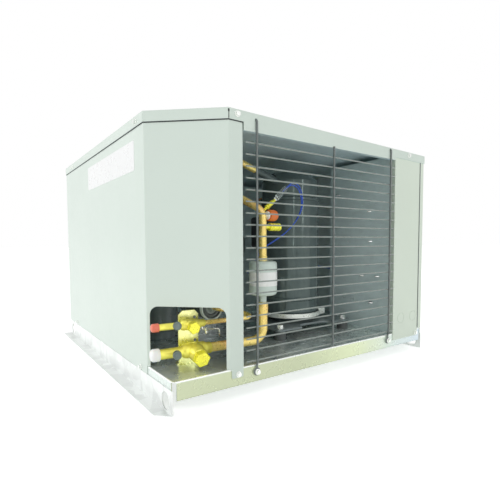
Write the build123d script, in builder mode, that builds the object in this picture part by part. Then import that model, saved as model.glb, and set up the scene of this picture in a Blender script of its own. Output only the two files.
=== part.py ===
from build123d import *
import math
import os

# Refrigeration condensing unit: base pan on two rails, sheet metal cabinet, wire guard over the front,
# service valves in the cut-off corner, compressor, suction filter, receiver, condenser coil, fan and
# control box. Millimetres, +Z up, the wire guard faces -Y, the service valves are at the front left.
# The origin is on the ground, in the middle of the outline seen from above.

os.makedirs("parts", exist_ok=True)

# Cabinet
WIDTH = 756.6
DEPTH = 823.0
LID_LEFT_Z = 548.0
LID_RIGHT_Z = 535.0
LID_FLANGE = 20.0
PANEL_SHEET = 1.2
LAP = 1.3
CHAMFER_X = 118.0
CHAMFER_Y = 115.0
POST_RIGHT = 150.0
OPENING_LEFT = 151.2
OPENING_RIGHT = 625.0
HEADER_Z = 510.0
PANEL_TOP_LEFT = 543.0
PANEL_TOP_RIGHT = 530.5
PANEL_BOTTOM = 43.5

# Base pan and rails
PAN_TOP = 59.2
PAN_SHEET = 1.5
PAN_FLANGE = 34.5
PAN_CORNER_GAP = 7.0
RAIL_SHEET = 2.0
RAIL_HEIGHT = 43.4
RAIL_FOOT = 26.0
RAIL_LENGTH = 804.0
RAIL_BEVEL = 22.7
LIFT_HOLE_R = 16.0
LIFT_HOLE_Y = 30.0
LIFT_HOLE_Z = 19.5

# Screws: washer-faced hexagon heads
SCREW_WASHER_R = 5.9
SCREW_HEAD_AF = 8.0
SCREW_WASHER = 1.2
SCREW_HEAD = 5.2
SCREW_SHANK_R = 2.1
SCREW_SHANK = 9.0
SCREW_HOLE_R = 2.2

# Wire guard
WIRE_PITCH = 22.2
WIRE_COUNT = 20
WIRE_TOP_Z = 489.3
WIRE_R = 1.5
WIRE_LEFT = 156.3
WIRE_RIGHT = 623.4
UPRIGHT_R = 2.25
UPRIGHT_Y = -LAP - UPRIGHT_R
EYE_R = 5.8
LEFT_UPRIGHT_X = 180.0
MIDDLE_UPRIGHT_X = 394.0
RIGHT_UPRIGHT_X = 602.0
HOOK_Z = 533.0
HOOK_HOLE_R = 3.2

# How far pieces stand out in front of and behind the cabinet faces
FRONT_REACH = 2 * UPRIGHT_R - LAP + SCREW_HEAD
REAR_REACH = LAP + SCREW_HEAD

LEFT = -WIDTH / 2
RIGHT = WIDTH / 2
FRONT = (FRONT_REACH - REAR_REACH - DEPTH) / 2
REAR = FRONT + DEPTH


def at(x, y, z=0.0):
    """A point given from the cabinet's front left corner: right of it, behind it, above the ground."""
    return (LEFT + x, FRONT + y, z)


def plan(*points):
    """Points seen from above, given from the cabinet's front left corner."""
    return [(LEFT + x, FRONT + y) for x, y in points]


def finish(piece, name):
    """Label a finished piece and write its file."""
    piece.part.label = name
    export_step(piece.part, f"parts/{name}.step")


def tube(route, bends, radius):
    """A round tube along straight runs joined by tangent bends."""
    with BuildPart() as pipe:
        with BuildLine() as path:
            FilletPolyline(*route, radius=bends)
        with BuildSketch(Plane(origin=path.line @ 0, z_dir=path.line % 0)):
            Circle(radius)
        sweep()
    return pipe


# Screw places: a point on the surface under the head and the way the head faces
TO_FRONT = (0, -1, 0)
TO_REAR = (0, 1, 0)
TO_LEFT = (-1, 0, 0)
TO_RIGHT = (1, 0, 0)
LID_SCREW_Z = 537.0
LID_SCREW_RIGHT_Z = 526.0
BOTTOM_SCREW_Z = 49.5
SIDE_SCREWS_Y = (152.0, 718.0)
SCREWS = [
    (at(136.6, -LAP, LID_SCREW_Z), TO_FRONT),
    (at(682.2, -LAP, 528.2), TO_FRONT),
    (at(136.8, 0, 47.5), TO_FRONT),
    (at(728.5, 0, 48.2), TO_FRONT),
    (at(132.0, DEPTH + LAP, LID_SCREW_Z), TO_REAR),
    (at(624.0, DEPTH + LAP, LID_SCREW_RIGHT_Z), TO_REAR),
]
for screw_y in SIDE_SCREWS_Y:
    SCREWS.append((at(-LAP, screw_y, LID_SCREW_Z), TO_LEFT))
    SCREWS.append((at(0, screw_y, BOTTOM_SCREW_Z), TO_LEFT))
    SCREWS.append((at(WIDTH + LAP, screw_y, LID_SCREW_RIGHT_Z), TO_RIGHT))
    SCREWS.append((at(WIDTH, screw_y, BOTTOM_SCREW_Z), TO_RIGHT))

# Guard screws stand on the eyes at the foot of the outer uprights
GUARD_SCREW_Z = 45.0
GUARD_SCREWS = [
    (at(x, LAP - 2 * UPRIGHT_R, GUARD_SCREW_Z), TO_FRONT) for x in (LEFT_UPRIGHT_X, RIGHT_UPRIGHT_X)
]


# Service valves stand a little turned, so that their stubs point out through the corner window
VALVE_YAW = 5.0
yaw = math.radians(VALVE_YAW)
RUN_DIR = Vector(math.cos(yaw), -math.sin(yaw), 0)
BACK_DIR = Vector(math.sin(yaw), math.cos(yaw), 0)
SUCTION_AT = Vector(*at(75, 62, 92))
LIQUID_AT = Vector(*at(64, 63, 143))
BRACKET_GAP = 20.0
BRACKET_SHEET = 2.5
BRACKET_SCREW_X = 12.0
BRACKET_SCREW_Y = 14.0
bracket_foot = Vector(*at(77, 62, PAN_TOP)) + BACK_DIR * BRACKET_GAP
for screw_x in (-BRACKET_SCREW_X, BRACKET_SCREW_X):
    foot_point = bracket_foot + RUN_DIR * screw_x + BACK_DIR * BRACKET_SCREW_Y + Vector(0, 0, BRACKET_SHEET)
    SCREWS.append((foot_point, (0, 0, 1)))


def drill_screws():
    """Clearance holes for every screw, cut in the sheet that is being built."""
    for point, facing in SCREWS + GUARD_SCREWS:
        with Locations(Plane(origin=point, z_dir=facing)):
            Cylinder(SCREW_HOLE_R, 30, mode=Mode.SUBTRACT)


# Compressor place, needed by the pan's bolt holes
COMPRESSOR_X = 460.0
COMPRESSOR_Y = 222.0
COMPRESSOR_R = 80.0
BOLT_SPACING_X = 228.0
BOLT_SPACING_Y = 190.0
BOLT_R = 4.8
BOLT_HOLE_R = 5.2

# Base pan: a tray turned upside down, its four flanges open at the corners
with BuildPart() as base_pan:
    with BuildSketch(Plane.XY.offset(PAN_TOP - PAN_SHEET)):
        with Locations((0, FRONT + DEPTH / 2)):
            Rectangle(WIDTH - 2 * LAP, DEPTH - 2 * LAP)
    extrude(amount=PAN_SHEET)
    with BuildSketch(Plane.XY.offset(PAN_TOP - PAN_FLANGE)):
        with Locations((0, FRONT + LAP + PAN_SHEET / 2), (0, REAR - LAP - PAN_SHEET / 2)):
            Rectangle(WIDTH - 2 * (LAP + PAN_CORNER_GAP), PAN_SHEET)
        with Locations((0, FRONT + DEPTH / 2)):
            with GridLocations(WIDTH - 2 * LAP - PAN_SHEET, 0, 2, 1):
                Rectangle(PAN_SHEET, DEPTH - 2 * (LAP + PAN_CORNER_GAP))
    extrude(amount=PAN_FLANGE - PAN_SHEET / 2)
    pan_bends = base_pan.edges().group_by(Axis.Z)[-1]
    fillet(pan_bends.sort_by(Axis.Y)[0], radius=1.4)
    fillet(base_pan.edges().group_by(Axis.Z)[-1].filter_by(Axis.Y).sort_by(Axis.X)[0], radius=1.4)
    with Locations(at(COMPRESSOR_X, COMPRESSOR_Y, PAN_TOP)):
        with GridLocations(BOLT_SPACING_X, BOLT_SPACING_Y, 2, 2):
            Cylinder(BOLT_HOLE_R, 10, mode=Mode.SUBTRACT)
    with BuildSketch(Plane.YZ.offset(LEFT - 10)):
        for hole_y in (LIFT_HOLE_Y, RAIL_LENGTH - LIFT_HOLE_Y):
            with Locations((FRONT + hole_y, LIFT_HOLE_Z)):
                Circle(LIFT_HOLE_R + 2)
    extrude(amount=WIDTH + 20, mode=Mode.SUBTRACT)
    drill_screws()
finish(base_pan, "base_pan")

# Left rail: an angle whose web stands outside the pan, its foot turned outwards
with BuildPart() as left_rail:
    web_x = LEFT + LAP
    with BuildSketch(Plane.XZ.offset(-FRONT)):
        with BuildLine():
            Polyline(
                (web_x, 0),
                (web_x, RAIL_HEIGHT),
                (web_x - RAIL_SHEET, RAIL_HEIGHT),
                (web_x - RAIL_SHEET, RAIL_SHEET),
                (LEFT - RAIL_FOOT, RAIL_SHEET),
                (LEFT - RAIL_FOOT, 0),
                close=True,
            )
        make_face()
    extrude(amount=-RAIL_LENGTH)
    fillet(left_rail.edges().filter_by(Axis.Y).filter_by_position(Axis.X, web_x - 0.1, web_x + 0.1)
           .sort_by(Axis.Z)[0], radius=1.9)
    with BuildSketch(Plane.XY.offset(-1)):
        with BuildLine():
            Polyline(
                (LEFT - RAIL_FOOT - 1, FRONT - 1),
                (LEFT - 2, FRONT - 1),
                (LEFT - 2, FRONT),
                (LEFT - RAIL_FOOT - 1, FRONT + RAIL_BEVEL),
                close=True,
            )
        make_face()
    extrude(amount=RAIL_SHEET + 2, mode=Mode.SUBTRACT)
    with BuildSketch(Plane.YZ.offset(LEFT - 10)):
        for hole_y in (LIFT_HOLE_Y, RAIL_LENGTH - LIFT_HOLE_Y):
            with Locations((FRONT + hole_y, LIFT_HOLE_Z)):
                Circle(LIFT_HOLE_R)
    extrude(amount=20, mode=Mode.SUBTRACT)
finish(left_rail, "left_rail")

with BuildPart() as right_rail:
    mirror(left_rail.part, about=Plane.YZ)
finish(right_rail, "right_rail")

# Left wrap panel: rear return, side, cut-off corner and front post bent from one sheet
HALF_SHEET = PANEL_SHEET / 2
CHAMFER_LENGTH = math.hypot(CHAMFER_X, CHAMFER_Y)
RETURN = 24.0
POST_RETURN = 16.0
POST_TAB_LEFT = 122.0
POST_TAB_BOTTOM = 41.0
WINDOW_LEFT = 6.4
WINDOW_RIGHT = 157.8
WINDOW_TOP = 177.5
WINDOW_CORNER = 17.0
chamfer_plane = Plane(
    origin=at(0, CHAMFER_Y, 0),
    x_dir=(CHAMFER_X, -CHAMFER_Y, 0),
    z_dir=(-CHAMFER_Y, -CHAMFER_X, 0),
)
with BuildPart() as left_wrap_panel:
    with BuildSketch(Plane.XY.offset(PANEL_BOTTOM)):
        with BuildLine() as wrap_line:
            FilletPolyline(
                *plan(
                    (RETURN, DEPTH - HALF_SHEET),
                    (HALF_SHEET, DEPTH - HALF_SHEET),
                    (HALF_SHEET, CHAMFER_Y + 0.25),
                    (CHAMFER_X + 0.25, HALF_SHEET),
                    (POST_RIGHT - HALF_SHEET, HALF_SHEET),
                    (POST_RIGHT - HALF_SHEET, POST_RETURN),
                ),
                radius=1.8,
            )
        trace(line_width=PANEL_SHEET)
    extrude(amount=PANEL_TOP_LEFT - PANEL_BOTTOM)
    with BuildSketch(Plane.XY.offset(PANEL_BOTTOM - 1)):
        Polygon(*plan((-4, CHAMFER_Y - 1), (CHAMFER_X, -6), (POST_RIGHT + 5, -6), (POST_RIGHT + 5, 30),
                      (40, CHAMFER_Y + 2), (-4, CHAMFER_Y + 2)), align=None)
    extrude(amount=PAN_TOP + 0.3 - PANEL_BOTTOM + 1, mode=Mode.SUBTRACT)
    with BuildSketch(Plane.XZ.offset(-FRONT)):
        with Locations((LEFT + (POST_TAB_LEFT + POST_RIGHT - 1.5) / 2, (POST_TAB_BOTTOM + PAN_TOP + 6) / 2)):
            RectangleRounded(POST_RIGHT - 1.5 - POST_TAB_LEFT, PAN_TOP + 6 - POST_TAB_BOTTOM, 3)
    extrude(amount=-PANEL_SHEET)
    with BuildSketch(chamfer_plane.offset(-10)):
        with BuildLine():
            FilletPolyline(
                (WINDOW_LEFT, PAN_TOP - 30),
                (WINDOW_LEFT, WINDOW_TOP),
                (WINDOW_RIGHT, WINDOW_TOP),
                (WINDOW_RIGHT, PAN_TOP - 30),
                radius=WINDOW_CORNER,
            )
            Line((WINDOW_RIGHT, PAN_TOP - 30), (WINDOW_LEFT, PAN_TOP - 30))
        make_face()
    extrude(amount=20, mode=Mode.SUBTRACT)
    drill_screws()
finish(left_wrap_panel, "left_wrap_panel")

# Right panel: side sheet with a narrow return at the front and at the rear
SIDE_RETURN = 15.6
REAR_RETURN = 34.0
with BuildPart() as right_panel:
    with BuildSketch(Plane.XY.offset(PANEL_BOTTOM)):
        with BuildLine():
            FilletPolyline(
                *plan(
                    (WIDTH - SIDE_RETURN, HALF_SHEET),
                    (WIDTH - HALF_SHEET, HALF_SHEET),
                    (WIDTH - HALF_SHEET, DEPTH - HALF_SHEET),
                    (WIDTH - REAR_RETURN, DEPTH - HALF_SHEET),
                ),
                radius=1.8,
            )
        trace(line_width=PANEL_SHEET)
    extrude(amount=PANEL_TOP_RIGHT - PANEL_BOTTOM)
    with Locations(at(WIDTH - SIDE_RETURN / 2, 0, PANEL_BOTTOM)):
        Box(SIDE_RETURN + 4, 5.6, 2 * (PAN_TOP + 0.3 - PANEL_BOTTOM), mode=Mode.SUBTRACT)
    drill_screws()
finish(right_panel, "right_panel")

# Lid: a shallow tray over the panels, falling slightly to the right, with a deep header over the opening
LID_FALL = (LID_LEFT_Z - LID_RIGHT_Z) / (WIDTH + 2 * LAP)
lid_top = Plane(origin=at(-LAP, -LAP, LID_LEFT_Z), x_dir=(1, 0, -LID_FALL), z_dir=(LID_FALL, 0, 1))
CORNER_SLOT = 1.6


def lid_outline(lap, cut):
    """Lid seen from above, its edges a distance outside the panels and its corner cut off."""
    return plan((-lap, CHAMFER_Y - cut), (CHAMFER_X - cut, -lap), (WIDTH + lap, -lap),
                (WIDTH + lap, DEPTH + lap), (-lap, DEPTH + lap))


with BuildPart() as lid_hollow:
    with BuildSketch(Plane.XY.offset(LID_RIGHT_Z - 60)):
        Polygon(*lid_outline(LAP - PANEL_SHEET, 0.1), align=None)
    extrude(amount=90)
    split(bisect_by=lid_top.offset(-PANEL_SHEET), keep=Keep.BOTTOM)

with BuildPart() as lid:
    with BuildSketch(Plane.XY.offset(LID_RIGHT_Z - 60)):
        Polygon(*lid_outline(LAP, 0.7), align=None)
    extrude(amount=90)
    split(bisect_by=lid_top, keep=Keep.BOTTOM)
    split(bisect_by=lid_top.offset(-LID_FLANGE), keep=Keep.TOP)
    fillet(lid.edges().filter_by(lambda e: abs(e.tangent_at(0.5).Z) > 0.9), radius=1.0)
    add(lid_hollow.part, mode=Mode.SUBTRACT)
    with BuildSketch(Plane.XZ.offset(-FRONT + LAP)):
        with BuildLine():
            Polyline(
                (LEFT + OPENING_LEFT, HEADER_Z),
                (LEFT + OPENING_RIGHT, HEADER_Z),
                (LEFT + OPENING_RIGHT, 520.0),
                (LEFT + OPENING_LEFT, 530.0),
                close=True,
            )
        make_face()
    extrude(amount=-PANEL_SHEET)
    with BuildSketch(Plane.XY.offset(HEADER_Z)):
        with Locations((LEFT + (OPENING_LEFT + OPENING_RIGHT) / 2, FRONT - LAP + 6)):
            Rectangle(OPENING_RIGHT - OPENING_LEFT, 12)
    extrude(amount=PANEL_SHEET)
    for corner_x, corner_y in ((-LAP, CHAMFER_Y), (CHAMFER_X, -LAP)):
        with Locations(at(corner_x, corner_y, LID_LEFT_Z - LID_FLANGE - 5)):
            Cylinder(CORNER_SLOT / 2, 2 * LID_FLANGE, mode=Mode.SUBTRACT)
    for upright_x in (LEFT_UPRIGHT_X, RIGHT_UPRIGHT_X):
        with Locations(Plane(origin=at(upright_x, 0, HOOK_Z), z_dir=TO_FRONT)):
            Cylinder(HOOK_HOLE_R, 10, mode=Mode.SUBTRACT)
    drill_screws()
finish(lid, "lid")

# Control cover: a plate over the control box with two knockouts for conduit
COVER_LEFT = 625.6
COVER_RIGHT = 737.0
COVER_BOTTOM = 41.0
COVER_TOP = 524.0
COVER_RETURN = 12.0
KNOCKOUT_R = 14.3
KNOCKOUTS = ((659.8, 96.9), (714.8, 97.3))
with BuildPart() as control_cover:
    with BuildSketch(Plane.XZ.offset(-FRONT)):
        with Locations((LEFT + (COVER_LEFT + COVER_RIGHT) / 2, (COVER_BOTTOM + COVER_TOP) / 2)):
            RectangleRounded(COVER_RIGHT - COVER_LEFT, COVER_TOP - COVER_BOTTOM, 1)
    extrude(amount=-PANEL_SHEET)
    with BuildSketch(Plane.XY.offset(PAN_TOP + 1)):
        with Locations((LEFT + COVER_LEFT + HALF_SHEET, FRONT + COVER_RETURN / 2)):
            Rectangle(PANEL_SHEET, COVER_RETURN)
    extrude(amount=COVER_TOP - 3 - PAN_TOP)
    for knockout_x, knockout_z in KNOCKOUTS:
        with BuildSketch(Plane.XZ.offset(-FRONT)):
            with Locations((LEFT + knockout_x, knockout_z)):
                Circle(KNOCKOUT_R)
                Circle(KNOCKOUT_R - 1, mode=Mode.SUBTRACT)
        extrude(amount=-0.6, mode=Mode.SUBTRACT)
    drill_screws()
finish(control_cover, "control_cover")

# Control box: a sheet box open towards the cover, its inner wall lanced for air and wires
BOX_LEFT = 627.2
BOX_RIGHT = 741.0
BOX_FRONT = 1.5
BOX_BACK = 224.0
BOX_TOP = 522.0
BOX_SHEET = 1.0
GROMMET_R = 11.0
GROMMET_X = 690.0
GROMMET_Z = 212.0
LANCES = ((190.5, 438.9), (79.6, 384.6), (76.4, 302.2), (101.5, 204.6), (49.9, 205.5), (73.0, 134.7))
WALL_HOLES = ((104.0, 403.7), (80.3, 403.2), (59.0, 404.1), (36.7, 487.7), (79.6, 359.4), (154.6, 301.5),
              (33.2, 233.3), (173.5, 134.1), (162.0, 135.4), (143.2, 136.0), (132.2, 135.8), (49.8, 137.0))
with BuildPart() as control_box:
    with BuildSketch(Plane.XY.offset(PAN_TOP)):
        Polygon(*plan((BOX_LEFT, BOX_FRONT), (BOX_RIGHT, BOX_FRONT), (BOX_RIGHT, BOX_BACK), (BOX_LEFT, BOX_BACK)),
                align=None)
    extrude(amount=BOX_TOP - PAN_TOP)
    offset(amount=-BOX_SHEET, openings=control_box.faces().sort_by(Axis.Y)[0])
    with BuildSketch(Plane.YZ.offset(LEFT + BOX_LEFT - 2)):
        for lance_y, lance_z in LANCES:
            with Locations((FRONT + lance_y, lance_z)):
                SlotOverall(12, 3.2)
        for hole_y, hole_z in WALL_HOLES:
            with Locations((FRONT + hole_y, hole_z)):
                Circle(1.9)
    extrude(amount=6, mode=Mode.SUBTRACT)
    with Locations(Plane(origin=at(GROMMET_X, BOX_BACK, GROMMET_Z), z_dir=TO_REAR)):
        Cylinder(GROMMET_R, 10, mode=Mode.SUBTRACT)
finish(control_box, "control_box")

# Wire guard: level wires welded behind three uprights, the outer ones hooked and screwed
with BuildPart() as wire_guard:
    wire_y = UPRIGHT_Y + UPRIGHT_R + WIRE_R - 0.4
    with BuildSketch(Plane.YZ.offset(LEFT + WIRE_LEFT)):
        for wire in range(WIRE_COUNT):
            with Locations((FRONT + wire_y, WIRE_TOP_Z - wire * WIRE_PITCH)):
                Circle(WIRE_R)
    extrude(amount=WIRE_RIGHT - WIRE_LEFT)
    for upright_x in (LEFT_UPRIGHT_X, RIGHT_UPRIGHT_X):
        with BuildLine() as upright_path:
            FilletPolyline(
                at(upright_x, LAP - UPRIGHT_R, GUARD_SCREW_Z + EYE_R),
                at(upright_x, LAP - UPRIGHT_R, GUARD_SCREW_Z + EYE_R + 6),
                at(upright_x, UPRIGHT_Y, GUARD_SCREW_Z + EYE_R + 14),
                at(upright_x, UPRIGHT_Y, HOOK_Z),
                at(upright_x, UPRIGHT_Y + 16, HOOK_Z),
                radius=(3.0, 3.0, 3.5),
            )
        with BuildSketch(Plane(origin=upright_path.line @ 0, z_dir=upright_path.line % 0)):
            Circle(UPRIGHT_R)
        sweep()
        with Locations(Plane(origin=at(upright_x, LAP - UPRIGHT_R, GUARD_SCREW_Z), z_dir=TO_FRONT)):
            Torus(EYE_R, UPRIGHT_R)
    with BuildSketch(Plane.XY.offset(64)):
        with Locations((LEFT + MIDDLE_UPRIGHT_X, FRONT + UPRIGHT_Y)):
            Circle(UPRIGHT_R)
    extrude(amount=512 - 64)
finish(wire_guard, "wire_guard")


def hex_screw(point, facing):
    """One washer-faced hexagon screw with its shank, standing on a surface point."""
    with Locations(Plane(origin=point, z_dir=facing)):
        Cylinder(SCREW_WASHER_R, SCREW_WASHER, align=(Align.CENTER, Align.CENTER, Align.MIN))
        Cylinder(SCREW_SHANK_R, SCREW_SHANK, align=(Align.CENTER, Align.CENTER, Align.MAX))
    with BuildSketch(Plane(origin=point, z_dir=facing).offset(SCREW_WASHER)) as hexagon:
        RegularPolygon(SCREW_HEAD_AF / 2, 6, major_radius=False)
    extrude(hexagon.sketch, amount=SCREW_HEAD - SCREW_WASHER)


with BuildPart() as cabinet_screws:
    for screw_point, screw_facing in SCREWS:
        hex_screw(screw_point, screw_facing)
finish(cabinet_screws, "cabinet_screws")

with BuildPart() as guard_screws:
    for screw_point, screw_facing in GUARD_SCREWS:
        hex_screw(screw_point, screw_facing)
finish(guard_screws, "guard_screws")

# Valve bracket: an angle with cut corners, screwed down to the pan
BRACKET_WIDTH = 44.0
BRACKET_TOP = 167.0
BRACKET_FOOT = 22.0
BRACKET_HOLES = ((14, 152), (14, 121))
bracket_face = Plane(
    origin=bracket_foot - Vector(0, 0, PAN_TOP),
    x_dir=RUN_DIR,
    z_dir=-BACK_DIR,
)
with BuildPart() as valve_bracket:
    with BuildSketch(bracket_face.offset(-BRACKET_SHEET)):
        with BuildLine():
            Polyline(
                (-BRACKET_WIDTH / 2, PAN_TOP),
                (-BRACKET_WIDTH / 2, BRACKET_TOP - 9),
                (-BRACKET_WIDTH / 2 + 8, BRACKET_TOP),
                (BRACKET_WIDTH / 2 - 7, BRACKET_TOP),
                (BRACKET_WIDTH / 2, BRACKET_TOP - 8),
                (BRACKET_WIDTH / 2, PAN_TOP),
                close=True,
            )
        make_face()
        with Locations(*BRACKET_HOLES):
            Circle(3.4, mode=Mode.SUBTRACT)
    extrude(amount=BRACKET_SHEET)
    foot_plane = Plane(origin=bracket_face.origin, x_dir=RUN_DIR, z_dir=(0, 0, 1)).offset(PAN_TOP)
    with BuildSketch(foot_plane):
        with Locations((0, BRACKET_FOOT / 2)):
            Rectangle(BRACKET_WIDTH, BRACKET_FOOT)
    extrude(amount=BRACKET_SHEET)
    drill_screws()
finish(valve_bracket, "valve_bracket")


def stem_frame(centre, tilt):
    """Plane through a valve's centre: x along the line, z out along the stem, tilted down at the front."""
    drop = math.radians(tilt)
    return Plane(
        origin=centre,
        x_dir=RUN_DIR,
        z_dir=(-math.sin(yaw) * math.cos(drop), -math.cos(yaw) * math.cos(drop), -math.sin(drop)),
    )


suction_frame = stem_frame(SUCTION_AT, 14)
liquid_frame = stem_frame(LIQUID_AT, 4)


def run_plane(frame, along):
    """Plane across the line through a valve, a distance along it."""
    return Plane(origin=frame.origin, x_dir=frame.y_dir, z_dir=frame.x_dir).offset(along)


def ball_valve(frame, body_r, body_half, stub_r, stub_bore, stub_left, stub_right, neck_r, neck_out, stem_r,
               port_at, port_tilt):
    """Forged body with a ball chamber, sockets to both sides, a neck for the stem and a service port."""
    with BuildPart() as valve:
        with BuildSketch(run_plane(frame, -body_half)):
            Circle(body_r)
        extrude(amount=2 * body_half)
        chamfer(valve.edges().filter_by(GeomType.CIRCLE), 2.2)
        with BuildSketch(run_plane(frame, -stub_left)):
            Circle(stub_r)
        extrude(amount=stub_left - body_half + 3)
        with BuildSketch(run_plane(frame, body_half - 3)):
            Circle(stub_r)
        extrude(amount=stub_right - body_half + 3)
        with BuildSketch(frame):
            Circle(neck_r)
        extrude(amount=neck_out)
        back = bracket_face.to_local_coords(frame.origin)
        with BuildSketch(bracket_face):
            with Locations((back.X, back.Y)):
                RectangleRounded(1.5 * body_r, 1.3 * body_r, 2)
        extrude(amount=BRACKET_GAP - 2)
        port = Plane(origin=run_plane(frame, port_at).origin, x_dir=RUN_DIR,
                     z_dir=Vector(*frame.z_dir).rotate(Axis((0, 0, 0), RUN_DIR), port_tilt))
        with BuildSketch(port):
            Circle(4.6)
        extrude(amount=body_r + 7)
        with BuildSketch(run_plane(frame, -stub_left)):
            Circle(stub_bore)
        extrude(amount=stub_left - body_half - 2, mode=Mode.SUBTRACT)
        with BuildSketch(frame.offset(neck_out)):
            Circle(stem_r + 0.05)
        extrude(amount=-neck_out + 2, mode=Mode.SUBTRACT)
    return valve, port


def valve_stem(frame, start, neck_out, stem_r):
    """Quarter-turn stem with a square end above the neck."""
    with BuildPart() as stem:
        with BuildSketch(frame.offset(start)):
            Circle(stem_r)
        extrude(amount=neck_out + 1 - start)
        with BuildSketch(frame.offset(neck_out + 1)):
            Rectangle(1.25 * stem_r, 1.25 * stem_r)
        extrude(amount=6)
    return stem


def hex_cap(frame, neck_out, across_flats, length, skirt):
    """Hexagon seal cap, hollow over the stem, with a chamfered crown."""
    with BuildPart() as cap:
        with BuildSketch(frame.offset(neck_out + 0.3)):
            RegularPolygon(across_flats / 2, 6, major_radius=False, rotation=12)
        extrude(amount=length)
        with BuildSketch(frame.offset(neck_out + 0.3)):
            Circle(across_flats / 2 - 4)
        extrude(amount=length - 4, mode=Mode.SUBTRACT)
        cap_top = cap.faces().filter_by(Plane(frame.origin, x_dir=frame.x_dir, z_dir=frame.z_dir))
        chamfer(cap_top.sort_by(Axis(frame.origin, frame.z_dir))[-1].edges(), skirt)
    return cap


SUCTION_STUB_R = 9.6
LIQUID_STUB_R = 6.4
SUCTION_STUB = 80.0
LIQUID_STUB = 66.0
suction_valve, suction_port = ball_valve(
    suction_frame, 14.0, 22.0, SUCTION_STUB_R, 8.0, SUCTION_STUB, 34.0, 12.5, 30.0, 5.0, -31.0, 6,
)
finish(suction_valve, "suction_valve")
liquid_valve, liquid_port = ball_valve(
    liquid_frame, 10.5, 15.0, LIQUID_STUB_R, 4.85, LIQUID_STUB, 34.0, 9.5, 20.0, 4.0, -24.0, 4,
)
finish(liquid_valve, "liquid_valve")
suction_stem = valve_stem(suction_frame, 8.0, 30.0, 5.0)
finish(suction_stem, "suction_stem")
liquid_stem = valve_stem(liquid_frame, 6.0, 20.0, 4.0)
finish(liquid_stem, "liquid_stem")
suction_cap = hex_cap(suction_frame, 30.0, 27.0, 13.0, 1.2)
finish(suction_cap, "suction_cap")
liquid_cap = hex_cap(liquid_frame, 20.0, 20.6, 12.0, 1.0)
finish(liquid_cap, "liquid_cap")

# Port caps: knurled black caps on both service ports
PORT_CAP_R = 8.3
PORT_CAP = 15.0
with BuildPart() as port_caps:
    for port_plane, port_out in ((suction_port, 21.0), (liquid_port, 17.5)):
        with BuildSketch(port_plane.offset(port_out)):
            Circle(PORT_CAP_R)
            with PolarLocations(PORT_CAP_R, 16):
                Circle(0.5, mode=Mode.SUBTRACT)
        extrude(amount=PORT_CAP)
finish(port_caps, "port_caps")


def shipping_plug(frame, stub_left, stub_r, cap_r, length, overlap):
    """Plastic cup pushed over the open end of a stub."""
    with BuildPart() as plug:
        with BuildSketch(run_plane(frame, -stub_left + overlap)):
            Circle(cap_r)
        extrude(amount=-length)
        fillet(plug.edges().filter_by(GeomType.CIRCLE), 1.6)
        with BuildSketch(run_plane(frame, -stub_left + overlap)):
            Circle(stub_r + 0.05)
        extrude(amount=-overlap - 0.1, mode=Mode.SUBTRACT)
    return plug


suction_plug = shipping_plug(suction_frame, SUCTION_STUB, SUCTION_STUB_R, 11.9, 23.0, 13.0)
finish(suction_plug, "suction_plug")
liquid_plug = shipping_plug(liquid_frame, LIQUID_STUB, LIQUID_STUB_R, 8.4, 17.0, 10.0)
finish(liquid_plug, "liquid_plug")

# Suction line: from the valve to the riser, through the filter and over to the compressor
RISER_X = 233.0
riser_foot = SUCTION_AT + RUN_DIR * ((LEFT + RISER_X - SUCTION_AT.X) / RUN_DIR.X)
RISER_Y = riser_foot.Y - FRONT
LOWER_TUBE_R = 9.5
UPPER_TUBE_R = 7.95
FILTER_BOTTOM = 179.0
FILTER_TOP = 263.0
FILTER_R = 30.0
FILTER_STUB = 20.0
suction_out = run_plane(suction_frame, 34.0).origin
suction_line_lower = tube(
    (
        suction_out,
        riser_foot,
        at(RISER_X, RISER_Y, FILTER_BOTTOM - FILTER_STUB),
    ),
    26,
    LOWER_TUBE_R,
)
finish(suction_line_lower, "suction_line_lower")

with BuildPart() as suction_filter:
    with BuildSketch(Plane(origin=at(RISER_X, RISER_Y, 0), x_dir=(1, 0, 0), z_dir=(0, -1, 0))):
        with BuildLine():
            FilletPolyline(
                (0, FILTER_BOTTOM - FILTER_STUB),
                (LOWER_TUBE_R + 0.9, FILTER_BOTTOM - FILTER_STUB),
                (LOWER_TUBE_R + 0.9, FILTER_BOTTOM - 4),
                (FILTER_R, FILTER_BOTTOM + 5),
                (FILTER_R, FILTER_TOP - 5),
                (LOWER_TUBE_R + 0.9, FILTER_TOP + 4),
                (LOWER_TUBE_R + 0.9, FILTER_TOP + FILTER_STUB),
                (0, FILTER_TOP + FILTER_STUB),
                radius=(0.5, 4, 6, 6, 4, 0.5),
            )
            Line((0, FILTER_TOP + FILTER_STUB), (0, FILTER_BOTTOM - FILTER_STUB))
        make_face()
    revolve(axis=Axis(at(RISER_X, RISER_Y, 0), (0, 0, 1)))
finish(suction_filter, "suction_filter")

ELBOW_Z = 368.0
suction_end = Vector(*at(312.5, 185, 481))
shell_port = Vector(*at(384.8, 194.6, 462))
port_dir = shell_port - suction_end
suction_line_upper = tube(
    (
        at(RISER_X, RISER_Y, FILTER_TOP + FILTER_STUB),
        at(RISER_X, RISER_Y, ELBOW_Z),
        at(182.4, 115, 412.8),
        suction_end - port_dir * 1.45,
        suction_end,
    ),
    (28, 30, 30),
    UPPER_TUBE_R,
)
finish(suction_line_upper, "suction_line_upper")

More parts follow.
